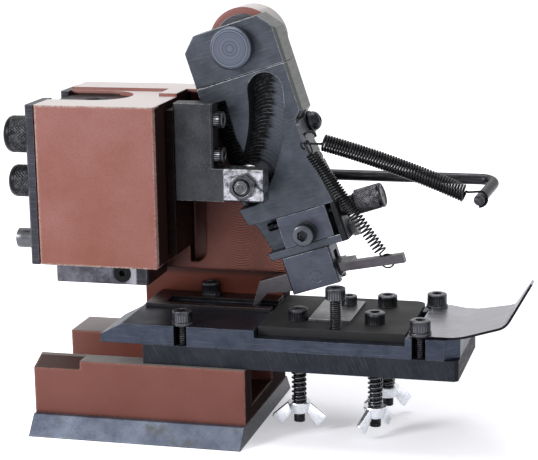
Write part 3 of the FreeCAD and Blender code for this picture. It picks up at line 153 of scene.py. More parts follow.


# Rail block and frame casting. Grey iron, machined and stove-enamelled brown-red in a
# satin coat with a faint orange peel; the coat is rubbed off the corners, the top faces
# are ground bare, and the slab still shows the face mill's arcs under the paint, drawn as a
# small bump with painted highlight on the ridges and painted shade in the valleys. Faces that
# look right, the slab's upper left and a band under the slab are darkened as painted shade.
def brown_enamel(name, deep, light, fade_level, top, top_level, rubbed, arcs=None):
    """Stove enamel on iron: orange-brown low down and faded to mauve above fade_level, bare on faces
    that look up above top_level; lower ones are dark, the right-hand sides are darkened as painted shade, and
    edges rubbed.
    Arcs are the mill's marks under the coat: their radius, column width, middle x, step, the depths, in
    mm, between which the milled face lies, and the height of its lower edge."""
    finish, add, place = new_finish(name)
    apart = add("SeparateXYZ", place, get=None)
    facing = add("SeparateXYZ", add("NewGeometry", get="Normal"), get=None)
    cloud = add("TexNoise", place, 1 / (24 * mm), 6.0, 0.6)
    cloud = add("Math MULTIPLY_ADD", apart[2], 3.2, add("Math SUBTRACT", cloud, 3.2 * fade_level * mm))
    peel = add("TexNoise", place, 1 / (0.7 * mm), 2.0)
    grime = add("TexNoise", place, 1 / (2.2 * mm), 8.0, 0.8)
    fade = add("MapRange", cloud, 0.3, 0.7)
    shade = add("Mix RGBA", fade, deep, light)
    grain = add("MapRange", peel, 0.42, 0.7, 0.0, 0.32)
    shade = add("Mix RGBA", grain, shade, "#6f473e")
    speck = add("MapRange", grime, 0.58, 0.74, 0.0, 0.28)
    shade = add("Mix RGBA", speck, shade, "#5c352d")
    chips = add("MapRange", grime, 0.285, 0.265, 0.0, 0.8)
    shade = add("Mix RGBA", chips, shade, "#c8ada2")
    height = peel
    if arcs:
        radius, width, middle, step, front, back, sill = arcs
        # the front of the foot under the milled face is redder, and a dark band at the top of the foot, under the
        # milled face's edge, is painted shadow
        foot = add("Math LESS_THAN", apart[2], sill * mm)
        fresh = add("MapRange", apart[1], (back + 11.0) * mm, (back + 4.0) * mm, 0.0, 0.8)
        red = add("Math MULTIPLY", foot, fresh)
        shade = add("Mix RGBA", red, shade, "#a04f3c")
        painted_shadow_band = add("MapRange", apart[2], (sill - 4.6) * mm, (sill - 2.2) * mm, 0.0, 1.2)
        painted_shadow_band = add("Math MULTIPLY", red, painted_shadow_band)
        shade = add("Mix RGBA", painted_shadow_band, shade, "#140a08")
        aside = add("Math SUBTRACT", apart[0], middle * mm)
        aside = add("Math WRAP", aside, width * mm / 2, -width * mm / 2)
        square = add("Math MULTIPLY", aside, aside)
        under = add("Math SUBTRACT", (radius * mm) ** 2, square)
        drop = add("Math SQRT", under)
        level = add("Math ADD", apart[2], drop)
        level = add("Math MULTIPLY_ADD", grime, 1.3 * step * mm, level)
        turns = add("Math MULTIPLY", level, 2 * math.pi / (step * mm))
        wave = add("Math SINE", turns)
        behind = add("Math GREATER_THAN", apart[1], front * mm)
        before = add("Math LESS_THAN", apart[1], back * mm)
        lower = add("Math LESS_THAN", apart[2], 120 * mm)
        only = add("Math MULTIPLY", behind, before)
        only = add("Math MULTIPLY", only, lower)
        marks = add("Math MULTIPLY", wave, only)
        red = add("Math MULTIPLY", only, 0.7)
        shade = add("Mix RGBA", red, shade, "#8c483b")
        # painted light: the milled face is drawn lighter towards its lower edge
        pale = add("MapRange", apart[2], (sill + 17.0) * mm, (sill + 1.0) * mm, 0.0, 0.75)
        pale = add("Math MULTIPLY", only, pale)
        shade = add("Mix RGBA", pale, shade, "#b8776b")
        # the marks are plain to the right and lost under the coat to the left
        plain = add("TexNoise", place, 1 / (6 * mm), 3.0)
        plain = add("Math MULTIPLY_ADD", plain, 34 * mm, apart[0])
        plain = add("MapRange", plain, 36 * mm, 66 * mm, 0.25)
        visible = add("Math MULTIPLY", only, plain)
        # painted highlight on the mill's ridges and painted shade in its valleys
        for low, high, tone in ((0.1, 0.9, "#bd7a66"), (-0.1, -0.8, "#461e17")):
            painted_ridge_light = add("MapRange", wave, low, high, 0.0, 0.85)
            painted_ridge_light = add("Math MULTIPLY", painted_ridge_light, visible)
            shade = add("Mix RGBA", painted_ridge_light, shade, tone)
        # painted shade darkens the slab's upper left, under the bracket and the head
        painted_shade_upper_left = add("Math MULTIPLY_ADD", apart[2], -0.6, apart[0])
        painted_shade_upper_left = add("Math MULTIPLY_ADD", grime, 12 * mm, painted_shade_upper_left)
        painted_shade_upper_left = add("MapRange", painted_shade_upper_left, -13 * mm, -36 * mm, 0.0, 0.95)
        inner = add("MapRange", apart[1], 31 * mm, 20 * mm)
        below = add("Math LESS_THAN", apart[2], 140 * mm)
        above = add("Math SUBTRACT", 1.0, foot)
        for mask in (behind, inner, below, above):
            painted_shade_upper_left = add("Math MULTIPLY", painted_shade_upper_left, mask)
        shade = add("Mix RGBA", painted_shade_upper_left, shade, "#260d0a")
        height = add("Math MULTIPLY_ADD", marks, 1.5, peel)
        # the round side of the pivot boss is turned, not painted
        high = add("Math GREATER_THAN", apart[2], 150 * mm)
        flank = add("MapRange", add("Math ABSOLUTE", facing[1]), 0.5, 0.3)
        bare = add("Math MULTIPLY", high, flank)
        shade = add("Mix RGBA", bare, shade, "#a8a3a2")
    # painted shade: faces that look right are darkened, made rougher and given less gloss
    painted_shade_right_sides = add("MapRange", facing[0], 0.7, 0.95, 0.0, 0.97)
    painted_shade_right_sides = add("Math MULTIPLY", painted_shade_right_sides, add("Math LESS_THAN", apart[2], 145 * mm))
    shade = add("Mix RGBA", painted_shade_right_sides, shade, "#180d0d")
    upward = add("MapRange", facing[2], 0.88, 0.92)
    tall = add("Math GREATER_THAN", apart[2], top_level * mm)
    ground = add("Mix RGBA", tall, "#3c241f", top)
    ground = add("Mix RGBA", speck, ground, "#5b4d48")
    shade = add("Mix RGBA", upward, shade, ground)
    worn, soft = edge_wear(add, place, 1.7 * mm, 1.6 * mm, 0.47)
    if arcs:
        # hands and the press rub only the head's front edges
        forward = add("Math LESS_THAN", apart[1], -24 * mm)
        worn = add("Math MULTIPLY", worn, forward)
    shade = add("Mix RGBA", worn, shade, rubbed)
    rough = add("MapRange", grime, 0.3, 0.7, 0.36, 0.5)
    rough = add("Math MULTIPLY_ADD", painted_shade_right_sides, 0.45, rough)
    normal = add("Bump", Strength=0.35, Distance=0.04 * mm, Height=height, Normal=soft)
    gloss = add("MapRange", painted_shade_right_sides, 0.0, 1.0, 0.3, 0.04)
    return close_finish(finish, shade, rough, normal, 0.0, Specular_IOR_Level=gloss)


dress(brown_enamel("brown_enamel_rail_block", "#6d3a30", "#79483f", 20.0, "#7b7472", 31.5, "#94695d"), "base_block")
dress(brown_enamel("brown_enamel_milled_frame", "#885143", "#996660", 98.0, "#c7bfbe", 100.0, "#dccfc4",
                   arcs=(10.5, 18.0, 32.3, 1.15, 15.2, 15.8, 62.5)), "frame")


# Gibs, their knurled screws and the ram. The gibs are plain ground bars, black-oxided;
# the big screws have rolled diamond knurls and the small one a turned head. The screws
# come out of the head's side, so they are made here with their sockets and knurls.
def machined_steel(name, tone, drift, bare, rough, marks, turn=0.0, metallic=0.85, patch=9.0, wear=0.8,
                   bite=0.02, contrast=0.35, sides=(), edge=None, knurl=None, reach=0.45, share=0.5,
                   beyond=()):
    """Machined steel under black oxide. Marks are the tool lines' sizes in mm along the piece's three
    axes, turn is its tilt about Y, and edge and reach the tone and width in mm of light corners: rubbed
    ones, and on the arm a painted highlight. Sides are tones of faces that look in a direction, between two
    cosines, for painted shade and painted reflection on one side; both lie beyond certain planes. Knurl is
    the tone of the points that the rub attribute marks, worn tips and painted highlight, and its negative
    values are roots darkened as painted shade."""
    finish, add, place = new_finish(name)
    lay = add("Mapping", place, vector_type="TEXTURE", Rotation=(0.0, turn, 0.0), Scale=[s * mm for s in marks])
    lines = add("TexNoise", lay, 1.0, 3.0, 0.6)
    cloud = add("TexNoise", place, 1 / (patch * mm), 6.0, 0.68)
    fade = add("MapRange", cloud, 0.36, 0.64)
    shade = add("Mix RGBA", fade, tone, drift)
    streak = add("MapRange", lines, 0.52, 0.78, 0.0, contrast)
    shade = add("Mix RGBA", streak, shade, bare)
    worn, soft = edge_wear(add, place, reach * mm, 2.5 * mm, share)
    allowed = 0.0 if beyond else 1.0
    for direction, distance in beyond:
        far = add("VectorMath DOT_PRODUCT", place, direction)
        far = add("Math GREATER_THAN", far, distance * mm)
        allowed = add("Math MAXIMUM", far, allowed)
    amount = add("Math MULTIPLY", worn, wear)
    amount = add("Math MULTIPLY", amount, allowed)
    shade = add("Mix RGBA", amount, shade, edge or bare)
    if knurl:
        rub = add("Attribute", attribute_name="rub", get="Fac")
        # positive rub lightens worn knurl tips, and also carries painted highlight on screw rims and the lit side of
        # the track's cuts
        bright = add("MapRange", rub, 0.45, 1.0)
        shade = add("Mix RGBA", bright, shade, knurl)
        # painted shade: negative rub darkens knurl and thread roots
        painted_root_shade = add("MapRange", rub, 0.0, -1.0)
        shade = add("Mix RGBA", painted_root_shade, shade, "#0c0c0e")
    for direction, low, high, other in sides:
        facing = add("VectorMath DOT_PRODUCT", add("NewGeometry", get="Normal"), direction)
        facing = add("MapRange", facing, low, high)
        facing = add("Math MULTIPLY", facing, allowed)
        shade = add("Mix RGBA", facing, shade, other)
    rough = add("MapRange", lines, 0.3, 0.7, rough - 0.08, rough + 0.08)
    normal = add("Bump", Strength=0.4, Distance=bite * mm, Height=lines, Normal=soft)
    return close_finish(finish, shade, rough, normal, metallic)


def new_piece(name, bm, finish):
    """Turn a finished bmesh into an object at the origin."""
    bmesh.ops.remove_doubles(bm, verts=bm.verts, dist=0.002 * mm)
    bmesh.ops.recalc_face_normals(bm, faces=bm.faces)
    mesh = bpy.data.meshes.new(name)
    bm.to_mesh(mesh)
    bm.free()
    mesh.shade_smooth()
    mesh.set_sharp_from_angle(angle=math.radians(38))
    mesh.materials.append(finish)
    made = bpy.data.objects.new(name, mesh)
    bpy.context.scene.collection.objects.link(made)
    return made


def add_shape(whole, shape, place, unit=mm):
    """Add one shape, worked in millimetres about its own axis, to a piece's bmesh in metres."""
    bmesh.ops.recalc_face_normals(shape, faces=shape.faces)
    scratch = bpy.data.meshes.new("scratch")
    shape.to_mesh(scratch)
    shape.free()
    scratch.transform(place @ Matrix.Scale(unit, 4))
    whole.from_mesh(scratch)
    bpy.data.meshes.remove(scratch)


def stand(seat, axis, turn=0.0):
    """The place of a shape that stands on a seat, in mm, with its own Z along an axis."""
    lean = Vector((0, 0, 1)).rotation_difference(Vector(axis)).to_matrix().to_4x4()
    return Matrix.Translation(Vector(seat) * mm) @ lean @ Matrix.Rotation(turn, 4, "Z")


def turned(rows, columns, key=0.0, socket=0.0):
    """A turned head from rings of points: height, radius and any knurl depth of each ring, then a hex socket.
    Diamond rows swap from ring to ring; a negative depth keeps the flutes straight."""
    bm = bmesh.new()
    rub = bm.verts.layers.float.new("rub")
    step = 2 * math.pi / columns
    start = bmesh.ops.create_circle(bm, segments=columns, radius=1.0)["verts"]
    edges = list(dict.fromkeys(e for v in start for e in v.link_edges))
    bmesh.ops.contextual_create(bm, geom=edges)
    if socket:
        top = rows[-1][0]
        rows = rows + [(top, None), (top - socket, None)]
    for number, (height, radius, *depth) in enumerate(rows):
        bite = depth[0] if depth else 0.0
        if number:
            grown = bmesh.ops.extrude_edge_only(bm, edges=edges)["geom"]
            fresh = {g for g in grown if isinstance(g, bmesh.types.BMVert)}
            edges = [g for g in grown if isinstance(g, bmesh.types.BMEdge) and set(g.verts) <= fresh]
        for vert in dict.fromkeys(v for e in edges for v in e.verts):
            column = round(math.atan2(vert.co.y, vert.co.x) / step)
            angle = column * step
            if radius is None:
                reach = key / 2 / math.cos((angle + math.pi / 6) % (math.pi / 3) - math.pi / 6)
            elif bite < 0:
                reach = radius + bite * (column % 2)
            else:
                reach = radius - bite * ((column + number) % 2)
            vert.co = (reach * math.cos(angle), reach * math.sin(angle), height)
            vert[rub] = 1.0 if bite and reach == radius else 0.0
    bmesh.ops.contextual_create(bm, geom=edges)
    for face in bm.faces[:]:
        low = [v for v in face.verts if v[rub] == 0.0]
        if len(face.verts) == 4 and len(low) == 2 and not any(set(low) <= set(e.verts) for e in face.edges):
            bmesh.utils.face_split(face, low[0], low[1])
    return bm


def knurled_head(radius, length, pitch, depth):
    """A barrel head: smooth rounded rim, diamond knurl between, socket in the end."""
    columns = 12 * max(2, round(2 * math.pi * radius / pitch / 6))
    run = length - 4.6
    count = max(4, round(run / (pitch / 2)))
    rows = [(0.0, radius - 1.2), (0.35, radius - 0.55), (0.9, radius - 0.12)]
    rows += [(1.1 + k * run / count, radius, depth) for k in range(count + 1)]
    rows += [(length - 3.3, radius - 0.3), (length - 3.0, radius - 0.05), (length - 1.9, radius - 0.1),
             (length - 1.0, radius - 0.5), (length - 0.3, radius - 1.3), (length, radius - 2.4)]
    return turned(rows, columns, key=radius * 0.95, socket=length * 0.55)


def cap_head(radius, height, depth=0.1):
    """A cap screw's head: finely fluted side below a smooth, rounded rim, hex socket on top."""
    rim = 0.12 * radius
    rows = [(0.0, radius - 0.35), (0.25, radius), (0.3, radius, -depth), (height * 0.66, radius, -depth),
            (height * 0.68, radius), (height - rim, radius), (height - 0.45 * rim, radius - 0.2 * rim),
            (height, radius - rim)]
    bm = turned(rows, 48, key=radius * 0.95, socket=height * 0.6)
    # painted highlight: the top rim is drawn in the lighter knurl tone
    rub = bm.verts.layers.float["rub"]
    for vert in bm.verts:
        if vert.co.z > height - 0.5 * rim:
            vert[rub] = 1.0
    return bm


def thread(crest, pitch, low, high):
    """A screw thread: a saw-tooth line wound once round, each turn one pitch higher, cut square at both ends."""
    bm = bmesh.new()
    steps = 20
    count = 2 * (int((high - low) / pitch) + 4)
    teeth = [bm.verts.new((crest - (k % 2) * 0.5 * pitch, 0, low + (k / 2 - 2.25) * pitch)) for k in range(count)]
    saw = [bm.edges.new(pair) for pair in zip(teeth, teeth[1:])]
    bmesh.ops.spin(bm, geom=teeth + saw, cent=(0, 0, 0), axis=(0, 0, 1), dvec=(0, 0, pitch / steps),
                   angle=2 * math.pi, steps=steps)
    bmesh.ops.remove_doubles(bm, verts=bm.verts, dist=pitch * 0.01)
    for height, side in ((low, -1), (high, 1)):
        bmesh.ops.bisect_plane(bm, geom=bm.verts[:] + bm.edges[:] + bm.faces[:], plane_co=(0, 0, height),
                               plane_no=(0, 0, side), clear_outer=True)
    bmesh.ops.holes_fill(bm, edges=[e for e in bm.edges if e.is_boundary])
    # painted shade: the roots are darkened, and the crests a little
    rub = bm.verts.layers.float.new("rub")
    for vert in bm.verts:
        vert[rub] = -0.35 if math.hypot(vert.co.x, vert.co.y) > crest - 0.2 * pitch else -1.0
    return bm


def plain_rod(radius, low, high):
    """A plain shank with a small chamfer at both ends."""
    return turned([(low, radius - 0.3), (low + 0.3, radius), (high - 0.3, radius), (high, radius - 0.3)], 24)


gib_steel = machined_steel("black_oxide_ground_bar", "#2a2a30", "#36363d", "#7d7d84", 0.42, (14, 14, 0.6),
                           contrast=0.25)
dress(gib_steel, "front_gib", "rear_gib")
screw_black = machined_steel("black_oxide_screw", "#0d0e11", "#121316", "#6d6e73", 0.34, (2, 2, 2), patch=3.0,
                             wear=0.7, contrast=0.05, knurl="#77777d")
gib_face = -47.86
gib_screw_lines = (-19.1, 22.7)
head_top = 141.1
gib_heads = ((14.2, 8.0, 12.0, 0.66), (34.4, 7.0, 11.0, 0.5), (59.6, 4.25, 9.5, 0.74))  # drop, radius, length, rub: how light the knurl tips and rims are drawn, all over for the small head; raised on the first as painted highlight
knurl_pitch = 1.5  # about 0.8 on the tool, drawn coarser so that the diamonds keep their shape in the mesh
knurl_depth = 0.34
smallest_knurled = 5.0
gib_bm = bmesh.new()
for y in gib_screw_lines:
    for drop, radius, length, rub in gib_heads:
        knurled = radius > smallest_knurled
        place = stand((gib_face, y, head_top - drop), (-1, 0, 0))
        head = knurled_head(radius, length, knurl_pitch, knurl_depth) if knurled else cap_head(radius, length)
        rubbed = head.verts.layers.float["rub"]
        for vert in head.verts:
            vert[rubbed] = rub * vert[rubbed] if knurled else rub
        add_shape(gib_bm, head, place)
        add_shape(gib_bm, plain_rod(2.5, -15.5, 0.5), place)
gib_screw_piece = new_piece("knurled_gib_screws", gib_bm, screw_black)
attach(gib_screw_piece, "base")
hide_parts("gib_screws")

ram_steel = machined_steel("ground_tool_steel", "#3f4045", "#53545a", "#8a8b8f", 0.35, (12, 12, 0.5), contrast=0.3)
dress(machined_steel("ground_ram_steel", "#3f4045", "#53545a", "#8a8b8f", 0.42, (12, 12, 0.5), contrast=0.3,
                     sides=[((0.0, 0.0, 1.0), 0.6, 0.9, "#0e0e10")]), "ram")
# the link is drawn nearly black as painted shade, deep in the head's side slot
dress(machined_steel("painted_shade_link_steel", "#120c0c", "#1a1111", "#4a4446", 0.5, (12, 12, 0.5), contrast=0.12,
                     metallic=1.0, wear=0.3), "ram_link")
dress(screw_black, "base_screws")


# Tool holder under the ram. Hardened steel whose black has been rubbed to bright metal by
# the dies: streaks down its face, dark stains near the flush screw.
def rubbed_bright(name, dark, bright, stain, size, share, rough, band=None):
    """Blackened steel rubbed bright in streaks; size is the patch in mm, share how much is still dark,
    and band an x range, in mm, drawn quite bare and bright: metal the dies have rubbed, with a painted highlight."""
    finish, add, place = new_finish(name)
    lay = add("Mapping", place, vector_type="TEXTURE", Scale=[s * mm for s in size])
    streaks = add("TexNoise", lay, 1.0, 7.0, 0.72)
    black = add("MapRange", streaks, share - 0.1, share + 0.1)
    spots = add("TexNoise", place, 1 / (2.2 * mm), 6.0, 0.8)
    blots = add("MapRange", spots, 0.6, 0.68)
    shade = add("Mix RGBA", black, dark, bright)
    # painted highlight over rubbed metal in the band
    if band:
        x = add("SeparateXYZ", place)
        x = add("Math MULTIPLY_ADD", spots, 4 * mm, x)
        bare = add("MapRange", x, band[0] * mm, band[1] * mm)
        shade = add("Mix RGBA", bare, shade, "#8a8a91")
    shade = add("Mix RGBA", blots, shade, stain)
    worn, soft = edge_wear(add, place, 0.5 * mm, 3 * mm)
    shade = add("Mix RGBA", worn, shade, "#1f2024")
    gloss = add("MapRange", spots, 0.3, 0.7, rough - 0.08, rough + 0.1)
    normal = add("Bump", Strength=0.3, Distance=0.03 * mm, Height=streaks, Normal=soft)
    return close_finish(finish, shade, gloss, normal, 0.9)


dress(rubbed_bright("rubbed_holder_steel", "#37373d", "#5c5c64", "#27272b", (7, 7, 9), 0.5, 0.34, (-10.5, -6.5)),
      "tool_holder")
dress(machined_steel("black_oxide_clamp", "#242428", "#323237", "#7b7b82", 0.38, (6, 6, 0.6), edge="#a9a9b0",
                     wear=1.0, reach=0.6), "tool_clamp")
dress(screw_black, "tool_screw")


# Follower on the ram's side. The L-shaped bracket is bead-blasted and blackened, with a fine
# sparkle; the block and the roller are ground bright, and the block's face is blotched
# where the black has been rubbed off round the nut.
def blasted_black(name):
    """Bead-blasted, blackened steel: even dark grey with a sparkle of pits a third of a millimetre wide."""
    finish, add, place = new_finish(name)
    pits = add("TexNoise", place, 1 / (0.34 * mm), 2.0)
    cloud = add("TexNoise", place, 1 / (8 * mm), 4.0)
    fade = add("MapRange", cloud, 0.35, 0.65)
    shade = add("Mix RGBA", fade, "#27282c", "#37383c")
    spark = add("MapRange", pits, 0.56, 0.72, 0.0, 0.5)
    shade = add("Mix RGBA", spark, shade, "#5c5d61")
    worn, soft = edge_wear(add, place, 0.5 * mm, 2.5 * mm)
    shade = add("Mix RGBA", worn, shade, "#a5a5a6")
    normal = add("Bump", Strength=0.5, Distance=0.05 * mm, Height=pits, Normal=soft)
    return close_finish(finish, shade, 0.5, normal, 0.75)


def cap_screws(name, finish, places, radius, height, shank, lengths, pitch=0.8, depth=0.1):
    """One piece of like socket screws: seat, axis and thread length of each."""
    bm = bmesh.new()
    for (seat, axis), length in zip(places, lengths):
        add_shape(bm, cap_head(radius, height, depth), stand(seat, axis))
        add_shape(bm, thread(shank, pitch, -length, 0.3), stand(seat, axis))
    return new_piece(name, bm, finish)


dress(blasted_black("bead_blasted_black_steel"), "follower_bracket")
dress(rubbed_bright("rubbed_follower_steel", "#2c2d31", "#b4b5bb", "#1b1b1e", (3.2, 3.2, 3.2), 0.5, 0.3),
      "follower_block")
ground_bright = machined_steel("ground_bright_steel", "#b3b4b8", "#c8c9cc", "#e2e2e4", 0.24, (0.5, 9, 0.5),
                               metallic=1.0, contrast=0.2)
dress(ground_bright, "roller")
stud_black = machined_steel("turned_stud_steel", "#35363a", "#45464b", "#9b9ca0", 0.32, (1, 4, 1), edge="#b5b6ba",
                            reach=0.5, share=0.4)
stud_x, stud_z = 43.1, 106.85
stud_seat, nut_seat = 5.8, -16.8
stud_bm = bmesh.new()
stud = turned([(0.0, 4.9), (0.3, 5.2), (1.9, 5.2), (1.9, 4.0), (13.8, 4.0), (13.8, 3.0), (26.5, 3.0), (26.9, 2.6),
               (26.9, 2.35), (26.55, 2.2), (26.55, 2.05), (27.0, 1.85)], 48)
add_shape(stud_bm, stud, stand((stud_x, stud_seat, stud_z), (0, -1, 0)))
stud_piece = new_piece("turned_follower_stud", stud_bm, stud_black)
nut_bm = bmesh.new()
flats = 10.0
nut = turned([(0.0, None), (3.2, None), (3.2, 4.5), (3.2, 3.9), (2.2, 3.5), (2.2, 3.02)], 60, key=flats)
for vert in nut.verts:
    over = math.hypot(vert.co.x, vert.co.y) - 0.98 * flats / 2
    if over > 0 and vert.co.z > 1.6:
        vert.co.z -= 0.9 * over
add_shape(nut_bm, nut, stand((stud_x, nut_seat, stud_z), (0, -1, 0), math.radians(-12)))
nut_piece = new_piece("chamfered_follower_nut", nut_bm, stud_black)
for made, node in ((stud_piece, "follower_stud"), (nut_piece, "follower_nut")):
    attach(made, "ram")
    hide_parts(node)
m4 = (3.5, 4.0, 2.0)  # head radius, head height, thread radius
bracket_face, bracket_line = 30.1, -12.5
bracket_screw_piece = cap_screws("bracket_socket_screws", screw_black,
                                 [((bracket_face, bracket_line, z), (1, 0, 0)) for z in (133.9, 118.9)],
                                 *m4, (20.0, 20.0), pitch=0.7)
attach(bracket_screw_piece, "ram")
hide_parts("bracket_screws")


# Feed arm. Three black-oxided plates screwed from behind; the faces are ground along the arm
# and the right-hand side is bare grey, lightened further as painted reflection, with painted
# highlight along its right and upper edges. The floor of the cam track keeps the end mill's
# scallops, so those are made as thin stepped rings along the track, darker to the left as
# painted shadow of the track's wall and with painted highlight on their rims.
arm_tilt = math.radians(18)
pivot = Vector((35.6, 0.0, 163.0))


def on_arm(u, y, w):
    """A point of the arm, in mm: u across, w up from the pivot, before the arm's tilt."""
    return Vector((pivot.x + u * math.cos(arm_tilt) - w * math.sin(arm_tilt), y,
                   pivot.z + u * math.sin(arm_tilt) + w * math.cos(arm_tilt)))


arm_across = (math.cos(arm_tilt), 0.0, math.sin(arm_tilt))
arm_up = (-math.sin(arm_tilt), 0.0, math.cos(arm_tilt))
# the arm's light right-hand sides are bare steel lightened as painted reflection; its light edges on the right and at
# the head are painted highlight
arm_steel = machined_steel("black_oxide_arm_plate", "#363a41", "#444850", "#767a80", 0.43, (9, 9, 0.5),
                           turn=-arm_tilt, contrast=0.28, sides=[(arm_across, 0.55, 0.8, "#606160")],
                           edge="#c0c3c8", wear=1.0, reach=0.7, share=0.42,
                           beyond=[(arm_across, 97.2), (arm_up, 128.0)])
dress(arm_steel, "arm_plate", "arm_head", "cam_plate")
dress(screw_black, "arm_screws")

stroke = 30.0
swing = math.radians(15)
cut_count = 27
first_lift, cut_span = -3.5, 38.0  # the cutter runs past both ends of the stroke
roller_start = Vector((stud_x, 0.0, stud_z))
track_cuts = []
for k in range(cut_count):
    lift = first_lift + cut_span * k / (cut_count - 1)
    turn = arm_tilt - swing * lift / stroke
    across = roller_start.x - pivot.x
    up = roller_start.z + lift - pivot.z
    track_cuts.append((across * math.cos(turn) + up * math.sin(turn), -across * math.sin(turn) + up * math.cos(turn)))
recess_cuts = [(-15.9, -61.0 + 1.5 * k) for k in range(24)]
track_radius, recess_radius = 9.6, 4.9
cut_depth = 0.3
cut_tilt = math.radians(3.0)
floor_depth, stagger = 6.62, 0.003  # each cut lies a hair nearer than the last, so that no two share a face
scallop_bm = bmesh.new()
for cuts, radius in ((track_cuts, track_radius), (recess_cuts, recess_radius)):
    for k, (u, w) in enumerate(cuts):
        cut = bmesh.new()
        bmesh.ops.create_cone(cut, cap_ends=True, cap_tris=True, segments=48, radius1=radius,
                              radius2=radius - cut_depth, depth=cut_depth)
        bright = cut.verts.layers.float.new("rub")
        for vert in cut.verts:
            # the left of each cut is darker as painted shadow of the track's wall, a little more or less from cut to
            # cut
            vert[bright] = max(0.0, min(1.0, 0.3 + vert.co.x / 4.5 + 0.15 * math.sin(2.1 * k)))
        bmesh.ops.rotate(cut, verts=cut.verts, cent=(0, 0, 0), matrix=Matrix.Rotation(cut_tilt, 3, "X"))
        add_shape(scallop_bm, cut, stand(on_arm(u, floor_depth - stagger * k, w), (0, -1, 0)))
arm_left = -20.9
bmesh.ops.bisect_plane(scallop_bm, geom=scallop_bm.verts[:] + scallop_bm.edges[:] + scallop_bm.faces[:], dist=1e-6,
                       plane_co=on_arm(arm_left, 0.0, 0.0) * mm, plane_no=-Vector(arm_across), clear_outer=True)
bmesh.ops.holes_fill(scallop_bm, edges=[e for e in scallop_bm.edges if e.is_boundary])
# the cuts' rims are lightened as painted highlight
scallop_piece = new_piece("track_floor_scallops", scallop_bm, machined_steel(
    "end_milled_floor", "#050506", "#0c0d0f", "#5b5d62", 0.4, (1.6, 1.6, 1.6), patch=3.0, contrast=0.28, bite=0.1,
    edge="#9b9da2", wear=0.65, knurl="#494d55"))
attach(scallop_piece, "feed_arm")


# Pivot. A headed pin, turned on the lathe and blackened, so its face shows fine rings about
# its axis; a thrust washer keeps the arm off the slab and a nut holds it behind.
def turned_face(name, tone, bare, centre, step):
    """Lathe-turned, blackened face: rings about an axis along Y, a step of mm apart."""
    finish, add, place = new_finish(name)
    lay = add("Mapping", place, vector_type="TEXTURE", Location=[c * mm for c in centre])
    flat = add("VectorMath MULTIPLY", lay, (1.0, 0.0, 1.0))
    reach = add("VectorMath LENGTH", flat)
    rough_reach = add("TexNoise", add("Math DIVIDE", reach, step * mm), 1.0, 3.0, noise_dimensions="1D")
    bands = add("MapRange", rough_reach, 0.35, 0.7)
    shade = add("Mix RGBA", bands, tone, bare)
    worn, soft = edge_wear(add, place, 0.5 * mm, 3 * mm)
    shade = add("Mix RGBA", worn, shade, "#8f9299")
    rough = add("MapRange", rough_reach, 0.3, 0.7, 0.34, 0.5)
    normal = add("Bump", Strength=0.35, Distance=0.03 * mm, Height=rough_reach, Normal=soft)
    return close_finish(finish, shade, rough, normal, 0.85)


dress(turned_face("turned_pivot_steel", "#3f444f", "#676c79", pivot, 0.55), "pivot_pin")
dress(ram_steel, "thrust_washer", "pivot_nut")


# Slide, clamp and adjusting screw in the arm's foot. Ground and blackened blocks; the clamp
# screw's head is rubbed bright at its edges, with a painted highlight on its top rim, and the thumb
# screw has a diamond knurl, a turned rim and a fine thread that shows on both sides of the slide.
slide_steel = machined_steel("black_oxide_slide", "#3b3e48", "#484b56", "#7d7e85", 0.4, (7, 7, 0.4),
                             turn=-arm_tilt, contrast=0.25, edge="#b9bcc3", reach=0.6, share=0.45)
dress(slide_steel, "slide_block", "pawl_holder")
dress(machined_steel("black_oxide_pin", "#3d404a", "#494c57", "#7d7e85", 0.4, (7, 7, 0.4), turn=-arm_tilt, wear=0.0),
      "pawl_pin")
dress(machined_steel("black_end_plate", "#17181b", "#222327", "#5c5d61", 0.45, (3, 3, 3), contrast=0.15), "end_plate")
dress(machined_steel("black_oxide_washer", "#1f2024", "#2b2c30", "#6c6d71", 0.4, (3, 3, 3)), "clamp_washer")
dress(machined_steel("grey_bolt_steel", "#4c4c4e", "#5d5d5f", "#a8a8a8", 0.4, (2, 2, 2)), "end_bolt")
rubbed_screw = machined_steel("rubbed_screw_steel", "#1f2125", "#2c2e33", "#85868a", 0.34, (1.2, 3, 1.2), patch=2.0,
                              edge="#b7b9bd", reach=0.5, share=0.5, knurl="#4b4e54")
clamp_piece = cap_screws("clamp_socket_screw", rubbed_screw, [(on_arm(4.6, -2.85, -84.2), (0, -1, 0))],
                         4.6, 5.0, 2.5, (16.4,), depth=0.06)
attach(clamp_piece, "feed_arm")
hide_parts("clamp_screw")

thumb_bm = bmesh.new()
thumb_place = stand(on_arm(0.0, 4.0, -78.2), arm_across)
collar = turned([(21.65, 3.6), (21.9, 4.2), (24.6, 4.2), (24.8, 3.7), (27.2, 3.7), (28.7, 4.6)], 36)
add_shape(thumb_bm, collar, thumb_place)
knob = [(28.65, 4.6), (28.95, 5.2), (29.2, 5.35)]
knob += [(29.4 + k * 0.62, 5.35, 0.3) for k in range(16)]
knob += [(39.0, 5.1), (39.4, 5.3), (40.2, 5.3), (40.65, 4.8), (40.65, 4.2), (40.3, 3.9), (40.3, 1.2), (40.1, 0.6)]
add_shape(thumb_bm, turned(knob, 60), thumb_place)
add_shape(thumb_bm, thread(2.0, 0.8, -12.0, 17.0), thumb_place)
add_shape(thumb_bm, plain_rod(1.95, 16.5, 22.0), thumb_place)
thumb_piece = new_piece("knurled_adjusting_screw", thumb_bm, machined_steel(
    "worn_black_knurl", "#1a1a1d", "#28282b", "#8c8c92", 0.3, (2, 2, 2), patch=2.5, wear=0.8, contrast=0.2,
    knurl="#77777d"))
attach(thumb_piece, "adjust_screw")
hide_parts("adjust_screw")


